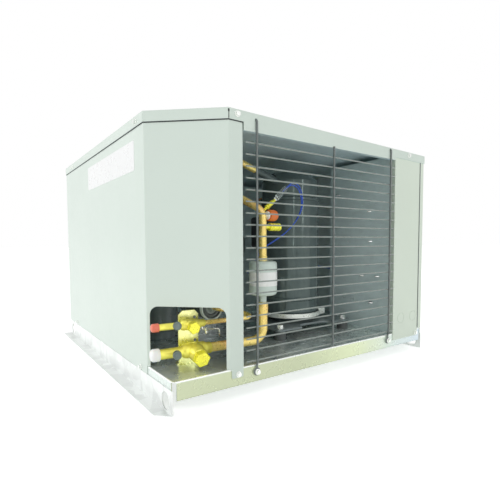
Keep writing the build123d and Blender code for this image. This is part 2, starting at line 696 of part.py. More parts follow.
# Service fittings saddled on the riser: a capped access fitting, a low pressure switch and its tee
ACCESS_Z = 333.0
SWITCH_Z = 355.0
with BuildPart() as access_fitting:
    with BuildSketch(Plane.YZ.offset(LEFT + RISER_X)):
        with Locations((FRONT + RISER_Y, ACCESS_Z)):
            Circle(4)
    extrude(amount=UPPER_TUBE_R + 9)
    with BuildSketch(Plane.YZ.offset(LEFT + RISER_X + UPPER_TUBE_R + 9)):
        with Locations((FRONT + RISER_Y, ACCESS_Z)):
            Circle(8.2)
            with PolarLocations(8.2, 18):
                Circle(0.5, mode=Mode.SUBTRACT)
    extrude(amount=28)
    add(suction_line_upper.part, mode=Mode.SUBTRACT)
finish(access_fitting, "access_fitting")

TEE_DIR = Vector(0.70, 0.10, 0.62)
TEE_R = 4.4
TEE_LENGTH = 36.0
tee_foot = Vector(*at(RISER_X, RISER_Y, 358))
tee_plane = Plane(origin=tee_foot, z_dir=TEE_DIR)
with BuildPart() as switch_tee:
    with BuildSketch(tee_plane):
        Circle(2.4)
    extrude(amount=14)
    with BuildSketch(tee_plane.offset(14)):
        Circle(TEE_R)
    extrude(amount=TEE_LENGTH - 14)
    add(suction_line_upper.part, mode=Mode.SUBTRACT)
finish(switch_tee, "switch_tee")

with BuildPart() as pressure_switch:
    with BuildSketch(Plane.YZ.offset(LEFT + RISER_X)):
        with Locations((FRONT + RISER_Y, SWITCH_Z)):
            Circle(3)
    extrude(amount=UPPER_TUBE_R + 6)
    with BuildSketch(Plane.YZ.offset(LEFT + RISER_X + UPPER_TUBE_R + 6)):
        with Locations((FRONT + RISER_Y, SWITCH_Z)):
            Circle(11)
    extrude(amount=15)
    fillet(pressure_switch.faces().sort_by(Axis.X)[-1].edges(), 2)
    add(suction_line_upper.part, mode=Mode.SUBTRACT)
    add(switch_tee.part, mode=Mode.SUBTRACT)
finish(pressure_switch, "pressure_switch")

# Liquid line: from the drier's front, round a hairpin bend, to the liquid valve
DRIER_X = 150.0
DRIER_Z = 160.0
DRIER_FRONT = 120.0
DRIER_BACK = 235.0
DRIER_R = 25.5
LIQUID_TUBE_R = 4.76
HAIRPIN_X = 209.0
liquid_corner = LIQUID_AT + RUN_DIR * ((LEFT + HAIRPIN_X - LIQUID_AT.X) / RUN_DIR.X)
liquid_line = tube(
    (
        run_plane(liquid_frame, 34.0).origin,
        liquid_corner,
        at(HAIRPIN_X, 92, 147),
        at(DRIER_X, 96, DRIER_Z),
        at(DRIER_X, DRIER_FRONT - 8, DRIER_Z),
    ),
    (19, 19, 7.5),
    LIQUID_TUBE_R,
)
finish(liquid_line, "liquid_line")

with BuildPart() as filter_drier:
    with BuildSketch(Plane(origin=at(DRIER_X, 0, DRIER_Z), x_dir=(1, 0, 0), z_dir=(0, 0, 1))):
        with BuildLine():
            FilletPolyline(
                (0, DRIER_FRONT - 8),
                (7, DRIER_FRONT - 8),
                (7, DRIER_FRONT),
                (DRIER_R, DRIER_FRONT + 4),
                (DRIER_R, DRIER_BACK - 6),
                (7, DRIER_BACK),
                (7, DRIER_BACK + 8),
                (0, DRIER_BACK + 8),
                radius=(0.5, 2, 4, 6, 2, 0.5),
            )
            Line((0, DRIER_BACK + 8), (0, DRIER_FRONT - 8))
        make_face()
    revolve(axis=Axis(at(DRIER_X, 0, DRIER_Z), (0, 1, 0)))
finish(filter_drier, "filter_drier")

# Receiver: an upright tank on a skirt beside the left panel
RECEIVER_X = 118.0
RECEIVER_Y = 330.0
RECEIVER_R = 44.0
RECEIVER_BOTTOM = 72.0
RECEIVER_TOP = 330.0
BOSS_R = 8.0
BOSS = 5.0
OUTLET_Z = 112.0
with BuildPart() as receiver:
    with BuildSketch(Plane(origin=at(RECEIVER_X, RECEIVER_Y, 0), x_dir=(1, 0, 0), z_dir=(0, -1, 0))):
        with BuildLine():
            FilletPolyline(
                (0, RECEIVER_BOTTOM),
                (RECEIVER_R - 4, RECEIVER_BOTTOM + 6),
                (RECEIVER_R, RECEIVER_BOTTOM + 26),
                (RECEIVER_R, RECEIVER_TOP - 26),
                (RECEIVER_R - 4, RECEIVER_TOP - 6),
                (0, RECEIVER_TOP),
                radius=(10, 10, 10, 10),
            )
            Line((0, RECEIVER_TOP), (0, RECEIVER_BOTTOM))
        make_face()
    revolve(axis=Axis(at(RECEIVER_X, RECEIVER_Y, 0), (0, 0, 1)))
    with Locations(at(RECEIVER_X, RECEIVER_Y, PAN_TOP)):
        Cylinder(36, 30, align=(Align.CENTER, Align.CENTER, Align.MIN))
        Cylinder(33, 14, align=(Align.CENTER, Align.CENTER, Align.MIN), mode=Mode.SUBTRACT)
    with Locations(at(RECEIVER_X, RECEIVER_Y, RECEIVER_TOP - 6)):
        Cylinder(BOSS_R, 6 + BOSS, align=(Align.CENTER, Align.CENTER, Align.MIN))
    with Locations(Plane(origin=at(RECEIVER_X + RECEIVER_R - 6, RECEIVER_Y, OUTLET_Z), z_dir=TO_RIGHT)):
        Cylinder(BOSS_R, 6 + BOSS, align=(Align.CENTER, Align.CENTER, Align.MIN))
finish(receiver, "receiver")

receiver_line = tube(
    (
        at(DRIER_X, DRIER_BACK + 8, DRIER_Z),
        at(DRIER_X, 272, DRIER_Z),
        at(188, 300, 130),
        at(188, RECEIVER_Y, OUTLET_Z),
        at(RECEIVER_X + RECEIVER_R + BOSS, RECEIVER_Y, OUTLET_Z),
    ),
    (14, 14, 10),
    LIQUID_TUBE_R,
)
finish(receiver_line, "receiver_line")

# Compressor: drawn shell with seamed ends, foot plate on rubber grommets, bolts, heater and terminal cover
SHELL_BOTTOM = 88.0
SHELL_TOP = 488.0
FOOT_BOTTOM = 82.0
FOOT_SHEET = 5.0
SEAM = 1.6
shell_axis = Axis(at(COMPRESSOR_X, COMPRESSOR_Y, 0), (0, 0, 1))
with BuildPart() as compressor_shell:
    with BuildSketch(Plane(origin=at(COMPRESSOR_X, COMPRESSOR_Y, 0), x_dir=(1, 0, 0), z_dir=(0, -1, 0))):
        with BuildLine():
            FilletPolyline(
                (0, SHELL_BOTTOM - 1),
                (COMPRESSOR_R - 22, SHELL_BOTTOM - 1),
                (COMPRESSOR_R - 2, SHELL_BOTTOM + 24),
                (COMPRESSOR_R - 2, SHELL_BOTTOM + 56),
                (COMPRESSOR_R + SEAM, SHELL_BOTTOM + 58),
                (COMPRESSOR_R + SEAM, SHELL_BOTTOM + 64),
                (COMPRESSOR_R - 1, SHELL_BOTTOM + 66),
                (COMPRESSOR_R - 1, SHELL_TOP - 78),
                (COMPRESSOR_R + SEAM, SHELL_TOP - 76),
                (COMPRESSOR_R + SEAM, SHELL_TOP - 70),
                (COMPRESSOR_R - 3, SHELL_TOP - 67),
                (COMPRESSOR_R - 3, SHELL_TOP - 20),
                (COMPRESSOR_R - 26, SHELL_TOP),
                (0, SHELL_TOP),
                radius=(8, 10, 0.6, 0.6, 0.6, 0.6, 0.6, 0.6, 0.6, 0.6, 10, 12),
            )
            Line((0, SHELL_TOP), (0, SHELL_BOTTOM - 1))
        make_face()
    revolve(axis=shell_axis)
    with BuildSketch(Plane(origin=suction_end, z_dir=port_dir)):
        Circle(UPPER_TUBE_R + 1.2)
    extrude(amount=port_dir.length + 6)
    with Locations(Plane(origin=at(COMPRESSOR_X, COMPRESSOR_Y + COMPRESSOR_R - 8, 430), z_dir=TO_REAR)):
        Cylinder(8, 26, align=(Align.CENTER, Align.CENTER, Align.MIN))
finish(compressor_shell, "compressor_shell")

with BuildPart() as compressor_foot:
    with BuildSketch(Plane.XY.offset(FOOT_BOTTOM)):
        with Locations((LEFT + COMPRESSOR_X, FRONT + COMPRESSOR_Y)):
            RectangleRounded(BOLT_SPACING_X + 34, BOLT_SPACING_Y + 34, 14)
            with GridLocations(BOLT_SPACING_X + 34, 0, 2, 1):
                SlotOverall(90, 60, rotation=90, mode=Mode.SUBTRACT)
            with GridLocations(0, BOLT_SPACING_Y + 34, 1, 2):
                SlotOverall(110, 50, mode=Mode.SUBTRACT)
            with GridLocations(BOLT_SPACING_X, BOLT_SPACING_Y, 2, 2):
                Circle(BOLT_HOLE_R, mode=Mode.SUBTRACT)
    extrude(amount=FOOT_SHEET)
finish(compressor_foot, "compressor_foot")

with BuildPart() as compressor_grommets:
    with BuildSketch(Plane.XY.offset(PAN_TOP)):
        with Locations((LEFT + COMPRESSOR_X, FRONT + COMPRESSOR_Y)):
            with GridLocations(BOLT_SPACING_X, BOLT_SPACING_Y, 2, 2):
                Circle(15)
                Circle(BOLT_HOLE_R, mode=Mode.SUBTRACT)
    extrude(amount=FOOT_BOTTOM - PAN_TOP)
finish(compressor_grommets, "compressor_grommets")

with BuildPart() as compressor_bolts:
    bolt_seat = FOOT_BOTTOM + FOOT_SHEET
    with BuildSketch(Plane.XY.offset(PAN_TOP - 8)):
        with Locations((LEFT + COMPRESSOR_X, FRONT + COMPRESSOR_Y)):
            with GridLocations(BOLT_SPACING_X, BOLT_SPACING_Y, 2, 2):
                Circle(BOLT_R)
    extrude(amount=bolt_seat + 1 - PAN_TOP + 8)
    with BuildSketch(Plane.XY.offset(bolt_seat)):
        with Locations((LEFT + COMPRESSOR_X, FRONT + COMPRESSOR_Y)):
            with GridLocations(BOLT_SPACING_X, BOLT_SPACING_Y, 2, 2):
                Circle(10)
    extrude(amount=2)
    with BuildSketch(Plane.XY.offset(bolt_seat + 2)):
        with Locations((LEFT + COMPRESSOR_X, FRONT + COMPRESSOR_Y)):
            with GridLocations(BOLT_SPACING_X, BOLT_SPACING_Y, 2, 2):
                RegularPolygon(7, 6, major_radius=False)
    extrude(amount=7)
    with BuildSketch(Plane.XY.offset(PAN_TOP - PAN_SHEET - 6)):
        with Locations((LEFT + COMPRESSOR_X, FRONT + COMPRESSOR_Y)):
            with GridLocations(BOLT_SPACING_X, BOLT_SPACING_Y, 2, 2):
                RegularPolygon(7, 6, major_radius=False)
    extrude(amount=6)
finish(compressor_bolts, "compressor_bolts")

HEATER_Z = 100.0
HEATER_WIDTH = 11.0
HEATER_START = 165.0
HEATER_SWEEP = 175.0
with BuildPart() as crankcase_heater:
    with BuildSketch(Plane.XY.offset(HEATER_Z)):
        with Locations((LEFT + COMPRESSOR_X, FRONT + COMPRESSOR_Y)):
            Circle(COMPRESSOR_R + 5)
            Circle(COMPRESSOR_R + 0.4, mode=Mode.SUBTRACT)
    extrude(amount=HEATER_WIDTH)
    with Locations(at(COMPRESSOR_X + COMPRESSOR_R - 4, COMPRESSOR_Y - 44, HEATER_Z + HEATER_WIDTH / 2)):
        Box(26, 14, HEATER_WIDTH + 5)
    with BuildSketch(Plane.XY.offset(HEATER_Z - 5)):
        with Locations((LEFT + COMPRESSOR_X, FRONT + COMPRESSOR_Y)):
            Circle(COMPRESSOR_R + 0.4)
    extrude(amount=HEATER_WIDTH + 10, mode=Mode.SUBTRACT)
finish(crankcase_heater, "crankcase_heater")

with BuildPart() as terminal_cover:
    with BuildSketch(Plane.XZ.offset(-(FRONT + COMPRESSOR_Y + COMPRESSOR_R + 24))):
        with Locations((LEFT + COMPRESSOR_X - 26, 330)):
            RectangleRounded(66, 88, 8)
    extrude(amount=36)
    fillet(terminal_cover.faces().sort_by(Axis.Y)[-1].edges(), 4)
    with Locations(at(COMPRESSOR_X, COMPRESSOR_Y, 330)):
        Cylinder(COMPRESSOR_R - 0.9, 120, mode=Mode.SUBTRACT)
finish(terminal_cover, "terminal_cover")

# Condenser coil: finned core between two end plates, return bends outside them
COIL_LEFT = 34.0
COIL_RIGHT = 718.0
COIL_FRONT = 766.0
COIL_DEPTH = 44.0
COIL_TOP = 516.0
TUBE_PITCH = 25.4
TUBE_ROWS = 17
COIL_TUBE_R = 4.8
tube_z0 = PAN_TOP + 24
with BuildPart() as coil_core:
    with BuildSketch(Plane.XY.offset(PAN_TOP + 3)):
        Polygon(*plan((COIL_LEFT, COIL_FRONT), (COIL_RIGHT, COIL_FRONT), (COIL_RIGHT, COIL_FRONT + COIL_DEPTH),
                      (COIL_LEFT, COIL_FRONT + COIL_DEPTH)), align=None)
    extrude(amount=COIL_TOP - PAN_TOP - 3)
finish(coil_core, "coil_core")

PLATE_SHEET = 2.0
PLATE_FLANGE = 18.0
plate_back = DEPTH - PANEL_SHEET - 0.1
with BuildPart() as coil_end_plates:
    for plate_x, side in ((COIL_LEFT, -1), (COIL_RIGHT, 1)):
        with BuildSketch(Plane.XY.offset(PAN_TOP)):
            with Locations((LEFT + plate_x + side * PLATE_SHEET / 2, FRONT + (COIL_FRONT + plate_back) / 2)):
                Rectangle(PLATE_SHEET, plate_back - COIL_FRONT)
            with Locations((LEFT + plate_x + side * PLATE_FLANGE / 2, FRONT + plate_back - PLATE_SHEET / 2)):
                Rectangle(PLATE_FLANGE, PLATE_SHEET)
        extrude(amount=COIL_TOP - PAN_TOP + 6)
    with BuildSketch(Plane.YZ.offset(LEFT + COIL_LEFT - 10)):
        for row in range(TUBE_ROWS):
            for row_y in (11, 33):
                with Locations((FRONT + COIL_FRONT + row_y, tube_z0 + row * TUBE_PITCH)):
                    Circle(COIL_TUBE_R + 0.1)
    extrude(amount=COIL_RIGHT - COIL_LEFT + 20, mode=Mode.SUBTRACT)
finish(coil_end_plates, "coil_end_plates")


def return_bend(row_y, low_z, x, side):
    """A hairpin end standing out of an end plate and joining two neighbouring tubes."""
    with BuildLine() as bend_path:
        FilletPolyline(
            at(x, COIL_FRONT + row_y, low_z),
            at(x + side * 20, COIL_FRONT + row_y, low_z),
            at(x + side * 20, COIL_FRONT + row_y, low_z + TUBE_PITCH),
            at(x, COIL_FRONT + row_y, low_z + TUBE_PITCH),
            radius=TUBE_PITCH / 2 - 0.1,
        )
    with BuildSketch(Plane(origin=bend_path.line @ 0, z_dir=(side, 0, 0))) as bend_section:
        Circle(COIL_TUBE_R)
    sweep(bend_section.sketch, path=bend_path.line)


with BuildPart() as return_bends:
    for pair in range(TUBE_ROWS // 2):
        return_bend(33, tube_z0 + 2 * pair * TUBE_PITCH, COIL_RIGHT, 1)
        return_bend(33, tube_z0 + (2 * pair + 1) * TUBE_PITCH, COIL_LEFT, -1)
finish(return_bends, "return_bends")

# Fan shroud: a plate box in front of the coil with a rolled collar round the fan
FAN_X = 372.0
FAN_Z = 290.0
FAN_R = 200.0
COLLAR_R = 211.0
SHROUD_FRONT = 640.0
SHROUD_LEFT = 20.0
SHROUD_RIGHT = 718.0
SHROUD_SHEET = 1.2
fan_axis = Axis(at(FAN_X, SHROUD_FRONT, FAN_Z), TO_REAR)
with BuildPart() as fan_shroud:
    with BuildSketch(Plane.XY.offset(PAN_TOP)):
        Polygon(*plan((SHROUD_LEFT, SHROUD_FRONT), (SHROUD_RIGHT, SHROUD_FRONT), (SHROUD_RIGHT, COIL_FRONT - 0.2),
                      (SHROUD_LEFT, COIL_FRONT - 0.2)), align=None)
    extrude(amount=COIL_TOP - PAN_TOP)
    offset(amount=-SHROUD_SHEET, openings=fan_shroud.faces().sort_by(Axis.Y)[-1])
    with BuildSketch(Plane.XZ.offset(-(FRONT + SHROUD_FRONT - 5))):
        with Locations((LEFT + FAN_X, FAN_Z)):
            Circle(COLLAR_R)
    extrude(amount=-10, mode=Mode.SUBTRACT)
    with BuildSketch(Plane(origin=at(FAN_X, SHROUD_FRONT, FAN_Z), x_dir=(1, 0, 0), z_dir=(0, 0, 1))):
        with BuildLine():
            FilletPolyline((COLLAR_R + 6, 0.6), (COLLAR_R + 0.6, 0.6), (COLLAR_R + 0.6, -26), radius=5)
        trace(line_width=SHROUD_SHEET)
    revolve(axis=fan_axis)
finish(fan_shroud, "fan_shroud")

# Motor carrier: two joggled straps across the collar
STRAP_Y = 604.0
STRAP_SHEET = 3.0
STRAP_OFFSET = 42.0
STRAP_WIDTH = 24.0
with BuildPart() as motor_straps:
    for strap_z in (FAN_Z - STRAP_OFFSET, FAN_Z + STRAP_OFFSET):
        with BuildSketch(Plane.XY.offset(strap_z - STRAP_WIDTH / 2)):
            with BuildLine():
                FilletPolyline(
                    *plan(
                        (FAN_X - 260, SHROUD_FRONT - STRAP_SHEET / 2),
                        (FAN_X - 236, SHROUD_FRONT - STRAP_SHEET / 2),
                        (FAN_X - 218, STRAP_Y),
                        (FAN_X + 218, STRAP_Y),
                        (FAN_X + 236, SHROUD_FRONT - STRAP_SHEET / 2),
                        (FAN_X + 260, SHROUD_FRONT - STRAP_SHEET / 2),
                    ),
                    radius=5,
                )
            trace(line_width=STRAP_SHEET)
        extrude(amount=STRAP_WIDTH)
finish(motor_straps, "motor_straps")

# Fan motor: ribbed body in front of the straps, its shaft running back to the blade
MOTOR_R = 62.0
MOTOR_FRONT = 510.0
MOTOR_BACK = STRAP_Y - STRAP_SHEET / 2
SHAFT_R = 6.35
SHAFT_CLEARANCE = 0.05
with BuildPart() as fan_motor:
    with BuildSketch(Plane.XZ.offset(-(FRONT + MOTOR_FRONT))):
        with Locations((LEFT + FAN_X, FAN_Z)):
            Circle(MOTOR_R)
    extrude(amount=-(MOTOR_BACK - MOTOR_FRONT))
    fillet(fan_motor.faces().sort_by(Axis.Y)[0].edges(), 10)
    with BuildSketch(Plane.XZ.offset(-(FRONT + MOTOR_FRONT + 18))):
        with Locations((LEFT + FAN_X, FAN_Z)):
            Circle(MOTOR_R + 3)
            with PolarLocations(MOTOR_R + 3.5, 20):
                Circle(3.5, mode=Mode.SUBTRACT)
    extrude(amount=-48)
    with BuildSketch(Plane.XZ.offset(-(FRONT + MOTOR_BACK))):
        with Locations((LEFT + FAN_X, FAN_Z)):
            Circle(SHAFT_R + SHAFT_CLEARANCE)
    extrude(amount=50, mode=Mode.SUBTRACT)
finish(fan_motor, "fan_motor")

HUB_FRONT = 648.0
HUB_LENGTH = 30.0
HUB_R = 34.0
with BuildPart() as fan_shaft:
    with BuildSketch(Plane.XZ.offset(-(FRONT + MOTOR_BACK - 45))):
        with Locations((LEFT + FAN_X, FAN_Z)):
            Circle(SHAFT_R)
    extrude(amount=-(HUB_FRONT + HUB_LENGTH + 8 - MOTOR_BACK + 45))
finish(fan_shaft, "fan_shaft")

# Fan: four blades, wide and flat at the tip, narrow and steep at the hub
BLADES = 4
BLADE_SHEET = 2.0
BLADE_ROOT = 66.0
BLADE_TIP = 150.0
ROOT_PITCH = 38.0
TIP_PITCH = 20.0
with BuildPart() as fan_blade:
    hub_mid = HUB_FRONT + HUB_LENGTH / 2
    with BuildSketch(Plane.XZ.offset(-(FRONT + HUB_FRONT))):
        with Locations((LEFT + FAN_X, FAN_Z)):
            Circle(HUB_R)
    extrude(amount=-HUB_LENGTH)
    for blade in range(BLADES):
        turn = math.radians(20 + blade * 360 / BLADES)
        spoke = Vector(math.cos(turn), 0, math.sin(turn))
        across = Vector(-math.sin(turn), 0, math.cos(turn))
        centre = Vector(*at(FAN_X, hub_mid, FAN_Z))
        for radius, width, pitch in ((HUB_R - 4, BLADE_ROOT, ROOT_PITCH), (FAN_R + 12, BLADE_TIP, TIP_PITCH)):
            with BuildSketch(Plane(origin=centre + spoke * radius, x_dir=across, z_dir=spoke)):
                Rectangle(width, BLADE_SHEET, rotation=pitch)
        loft()
    with BuildSketch(Plane.XZ.offset(-(FRONT + HUB_FRONT - 60))):
        with Locations((LEFT + FAN_X, FAN_Z)):
            Circle(FAN_R)
    extrude(amount=-180, mode=Mode.INTERSECT)
    with BuildSketch(Plane.XZ.offset(-(FRONT + HUB_FRONT - 60))):
        with Locations((LEFT + FAN_X, FAN_Z)):
            Circle(SHAFT_R + 0.02)
    extrude(amount=-180, mode=Mode.SUBTRACT)
finish(fan_blade, "fan_blade")

# Hot gas and condensate lines between compressor, coil and receiver
DISCHARGE_R = 6.35
discharge_line = tube(
    (
        at(COMPRESSOR_X, COMPRESSOR_Y + COMPRESSOR_R + 18, 430),
        at(COMPRESSOR_X, COMPRESSOR_Y + COMPRESSOR_R + 70, 430),
        at(660, 560, 470),
        at(738, 640, 470),
        at(738, COIL_FRONT + 11, 470),
        at(COIL_RIGHT + 2.1, COIL_FRONT + 11, 470),
    ),
    (30, 60, 40, 16),
    DISCHARGE_R,
)
finish(discharge_line, "discharge_line")

condensate_line = tube(
    (
        at(COIL_LEFT - 2.1, COIL_FRONT + 11, tube_z0),
        at(10, COIL_FRONT + 11, tube_z0),
        at(10, 430, tube_z0 + 12),
        at(40, 390, 250),
        at(60, 350, 360),
        at(RECEIVER_X, RECEIVER_Y, 360),
        at(RECEIVER_X, RECEIVER_Y, RECEIVER_TOP + BOSS),
    ),
    (10, 14, 40, 30, 12),
    LIQUID_TUBE_R,
)
finish(condensate_line, "condensate_line")

# Control box contents: contactor, run capacitor and terminal strip on the rear wall
CONTACTOR_X = 668.0
CAPACITOR_X = 682.0
CONTACTOR_Z = 400.0
ARMATURE_TRAVEL = 3.0
box_wall = BOX_BACK - BOX_SHEET
contactor_face = box_wall - 62
with BuildPart() as contactor_base:
    with BuildSketch(Plane.XZ.offset(-(FRONT + contactor_face))):
        with Locations((LEFT + CONTACTOR_X, CONTACTOR_Z)):
            RectangleRounded(50, 72, 3)
    extrude(amount=-62)
    with BuildSketch(Plane.XZ.offset(-(FRONT + contactor_face))):
        with Locations((LEFT + CONTACTOR_X, CONTACTOR_Z)):
            Rectangle(16.8, 28.8)
            with GridLocations(16, 54, 3, 2):
                Circle(3.5)
    extrude(amount=-12, mode=Mode.SUBTRACT)
finish(contactor_base, "contactor_base")

with BuildPart() as contactor_armature:
    with BuildSketch(Plane.XZ.offset(-(FRONT + contactor_face - 5))):
        with Locations((LEFT + CONTACTOR_X, CONTACTOR_Z)):
            RectangleRounded(16, 28, 1)
    extrude(amount=-(12 + 5 - ARMATURE_TRAVEL - 0.5))
finish(contactor_armature, "contactor_armature")

with BuildPart() as run_capacitor:
    with BuildSketch(Plane.XY.offset(240)):
        with Locations((LEFT + CAPACITOR_X, FRONT + box_wall - 24)):
            Ellipse(30, 22)
    extrude(amount=82)
    fillet(run_capacitor.edges().sort_by(Axis.Z)[-1], 2)
    with BuildSketch(Plane.XY.offset(262)):
        with Locations((LEFT + CAPACITOR_X, FRONT + box_wall - 24)):
            Ellipse(31.5, 23.5)
        with Locations((LEFT + CAPACITOR_X, FRONT + box_wall - 0.8)):
            Rectangle(84, 1.6)
    extrude(amount=16)
finish(run_capacitor, "run_capacitor")

with BuildPart() as terminal_strip:
    with BuildSketch(Plane.XZ.offset(-(FRONT + box_wall - 22))):
        with Locations((LEFT + 680, 170)):
            Rectangle(88, 30)
    extrude(amount=-22)
    with BuildSketch(Plane.XZ.offset(-(FRONT + box_wall - 22))):
        with Locations((LEFT + 680, 170)):
            with GridLocations(14, 0, 6, 1):
                Rectangle(10.5, 18)
    extrude(amount=-9, mode=Mode.SUBTRACT)
finish(terminal_strip, "terminal_strip")

# Switch leads: a pair of blue leads in one sleeve, from the pressure switch to the control box
LEAD_R = 2.2
LEAD_ROUTE = [
    tee_foot + TEE_DIR.normalized() * (TEE_LENGTH + 15.4),
    at(291, 55, 406),
    at(316, 60, 425),
    at(345, 66, 430),
    at(368, 73, 409),
    at(374, 80, 376),
    at(357, 88, 344),
    at(322, 98, 314),
    at(290, 112, 288),
    at(278, 134, 256),
    at(296, 164, 228),
    at(330, 202, 214),
    at(360, 248, 210),
    at(372, 298, 210),
    at(400, 342, 214),
    at(452, 362, 216),
    at(512, 356, 214),
    at(570, 330, 212),
    at(618, 305, 212),
    at(664, 284, GROMMET_Z),
    at(GROMMET_X, 252, GROMMET_Z),
    at(GROMMET_X, 200, GROMMET_Z),
]


def open_bends(route):
    """Bend radii as large as the runs beside each corner allow."""
    points = [Vector(*point) for point in route]
    radii = []
    for before, corner, after in zip(points, points[1:], points[2:]):
        first = corner - before
        second = after - corner
        turn = math.radians(first.get_angle(second))
        radii.append(0.45 * min(first.length, second.length) / math.tan(turn / 2))
    return radii


lead_bends = open_bends(LEAD_ROUTE)
print("switch lead bend radii", [round(r, 1) for r in lead_bends])
with BuildPart() as switch_leads:
    with BuildLine() as lead_path:
        FilletPolyline(*LEAD_ROUTE, radius=lead_bends)
    with BuildSketch(Plane(origin=lead_path.line @ 0, z_dir=lead_path.line % 0)):
        Circle(LEAD_R)
    sweep()
lead_length = sum(edge.length for edge in lead_path.edges())
print("switch lead length", round(lead_length, 1))
print("volume over section times length", round(switch_leads.part.volume / (math.pi * LEAD_R**2 * lead_length), 4))
finish(switch_leads, "switch_leads")

# Connector between the switch and its leads
with BuildPart() as switch_connector:
    with BuildSketch(tee_plane.offset(TEE_LENGTH)):
        RectangleRounded(12, 8, 1.5)
    extrude(amount=15)
finish(switch_connector, "switch_connector")

with BuildPart() as lead_grommet:
    with Locations(Plane(origin=at(GROMMET_X, BOX_BACK - BOX_SHEET / 2, GROMMET_Z), z_dir=TO_REAR)):
        Cylinder(GROMMET_R + 3, 7)
        Cylinder(GROMMET_R + 4, BOX_SHEET + 0.1, mode=Mode.SUBTRACT)
        Cylinder(GROMMET_R - 0.1, 7)
        Cylinder(LEAD_R + 0.1, 12, mode=Mode.SUBTRACT)
finish(lead_grommet, "lead_grommet")

# Capillary: the thin bent tube under the liquid line, laid on the pan and ending at the receiver's skirt
CAPILLARY_R = 1.2
capillary_x = 113.0
capillary_top = LIQUID_AT + RUN_DIR * ((LEFT + capillary_x - LIQUID_AT.X) / RUN_DIR.X)
capillary_y = capillary_top.Y - FRONT
capillary_floor = PAN_TOP + CAPILLARY_R + 0.1
capillary_tube = tube(
    (
        capillary_top - Vector(0, 0, LIQUID_TUBE_R),
        at(capillary_x, capillary_y, 131),
        at(129, capillary_y, 130),
        at(131, capillary_y, 112),
        at(131, 100, 88),
        at(131, 140, capillary_floor),
        at(128, 210, capillary_floor),
        at(118, 293.5, capillary_floor),
    ),
    (3, 3, 5, 14, 14, 40),
    CAPILLARY_R,
)
finish(capillary_tube, "capillary_tube")

all_pieces = Compound(children=[import_step("parts/" + file) for file in sorted(os.listdir("parts"))])
box = all_pieces.bounding_box()
print("size", [round(v, 2) for v in box.size], "low", [round(v, 2) for v in box.min],
      "high", [round(v, 2) for v in box.max])
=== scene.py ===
"""Looks of an air-cooled condensing unit: sheet cabinet, wire guard, compressor, lines and service valves."""

import math

import bmesh
import bpy
from mathutils import Matrix, Vector


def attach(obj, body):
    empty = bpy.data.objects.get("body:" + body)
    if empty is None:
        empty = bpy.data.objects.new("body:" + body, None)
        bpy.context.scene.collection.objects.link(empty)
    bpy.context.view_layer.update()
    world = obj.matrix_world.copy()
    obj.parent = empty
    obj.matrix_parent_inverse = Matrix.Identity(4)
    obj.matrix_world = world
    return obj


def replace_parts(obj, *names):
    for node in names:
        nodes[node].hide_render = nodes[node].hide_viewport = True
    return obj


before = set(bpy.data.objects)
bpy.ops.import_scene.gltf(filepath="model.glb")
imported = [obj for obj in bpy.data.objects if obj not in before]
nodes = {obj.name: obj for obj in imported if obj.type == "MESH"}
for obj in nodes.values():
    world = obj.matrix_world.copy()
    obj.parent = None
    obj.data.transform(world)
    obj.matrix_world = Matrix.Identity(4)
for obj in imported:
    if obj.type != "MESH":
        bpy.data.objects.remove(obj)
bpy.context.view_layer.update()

# In metres, in the row frame: the cabinet's front left corner, the top of its pan, and the plane that
# parts the guard's uprights from its level wires
CORNER_X = -0.3783
CORNER_Y = -0.41055
PAN_TOP = 0.0592
GUARD_SPLIT = CORNER_Y - 0.0015


def at(x, y, z=0.0):
    """A point in the row frame, given in millimetres from the cabinet's front left corner at ground level."""
    return Vector((CORNER_X + x / 1000, CORNER_Y + y / 1000, z / 1000))


UP = Vector((0, 0, 1))
DRIER = at(149.4, 0, 158.2)

# Sockets of a Mix node that are in use when it mixes colours
MIX_FACTOR, MIX_FIRST, MIX_SECOND, MIX_RESULT = 0, 6, 7, 2


# Materials

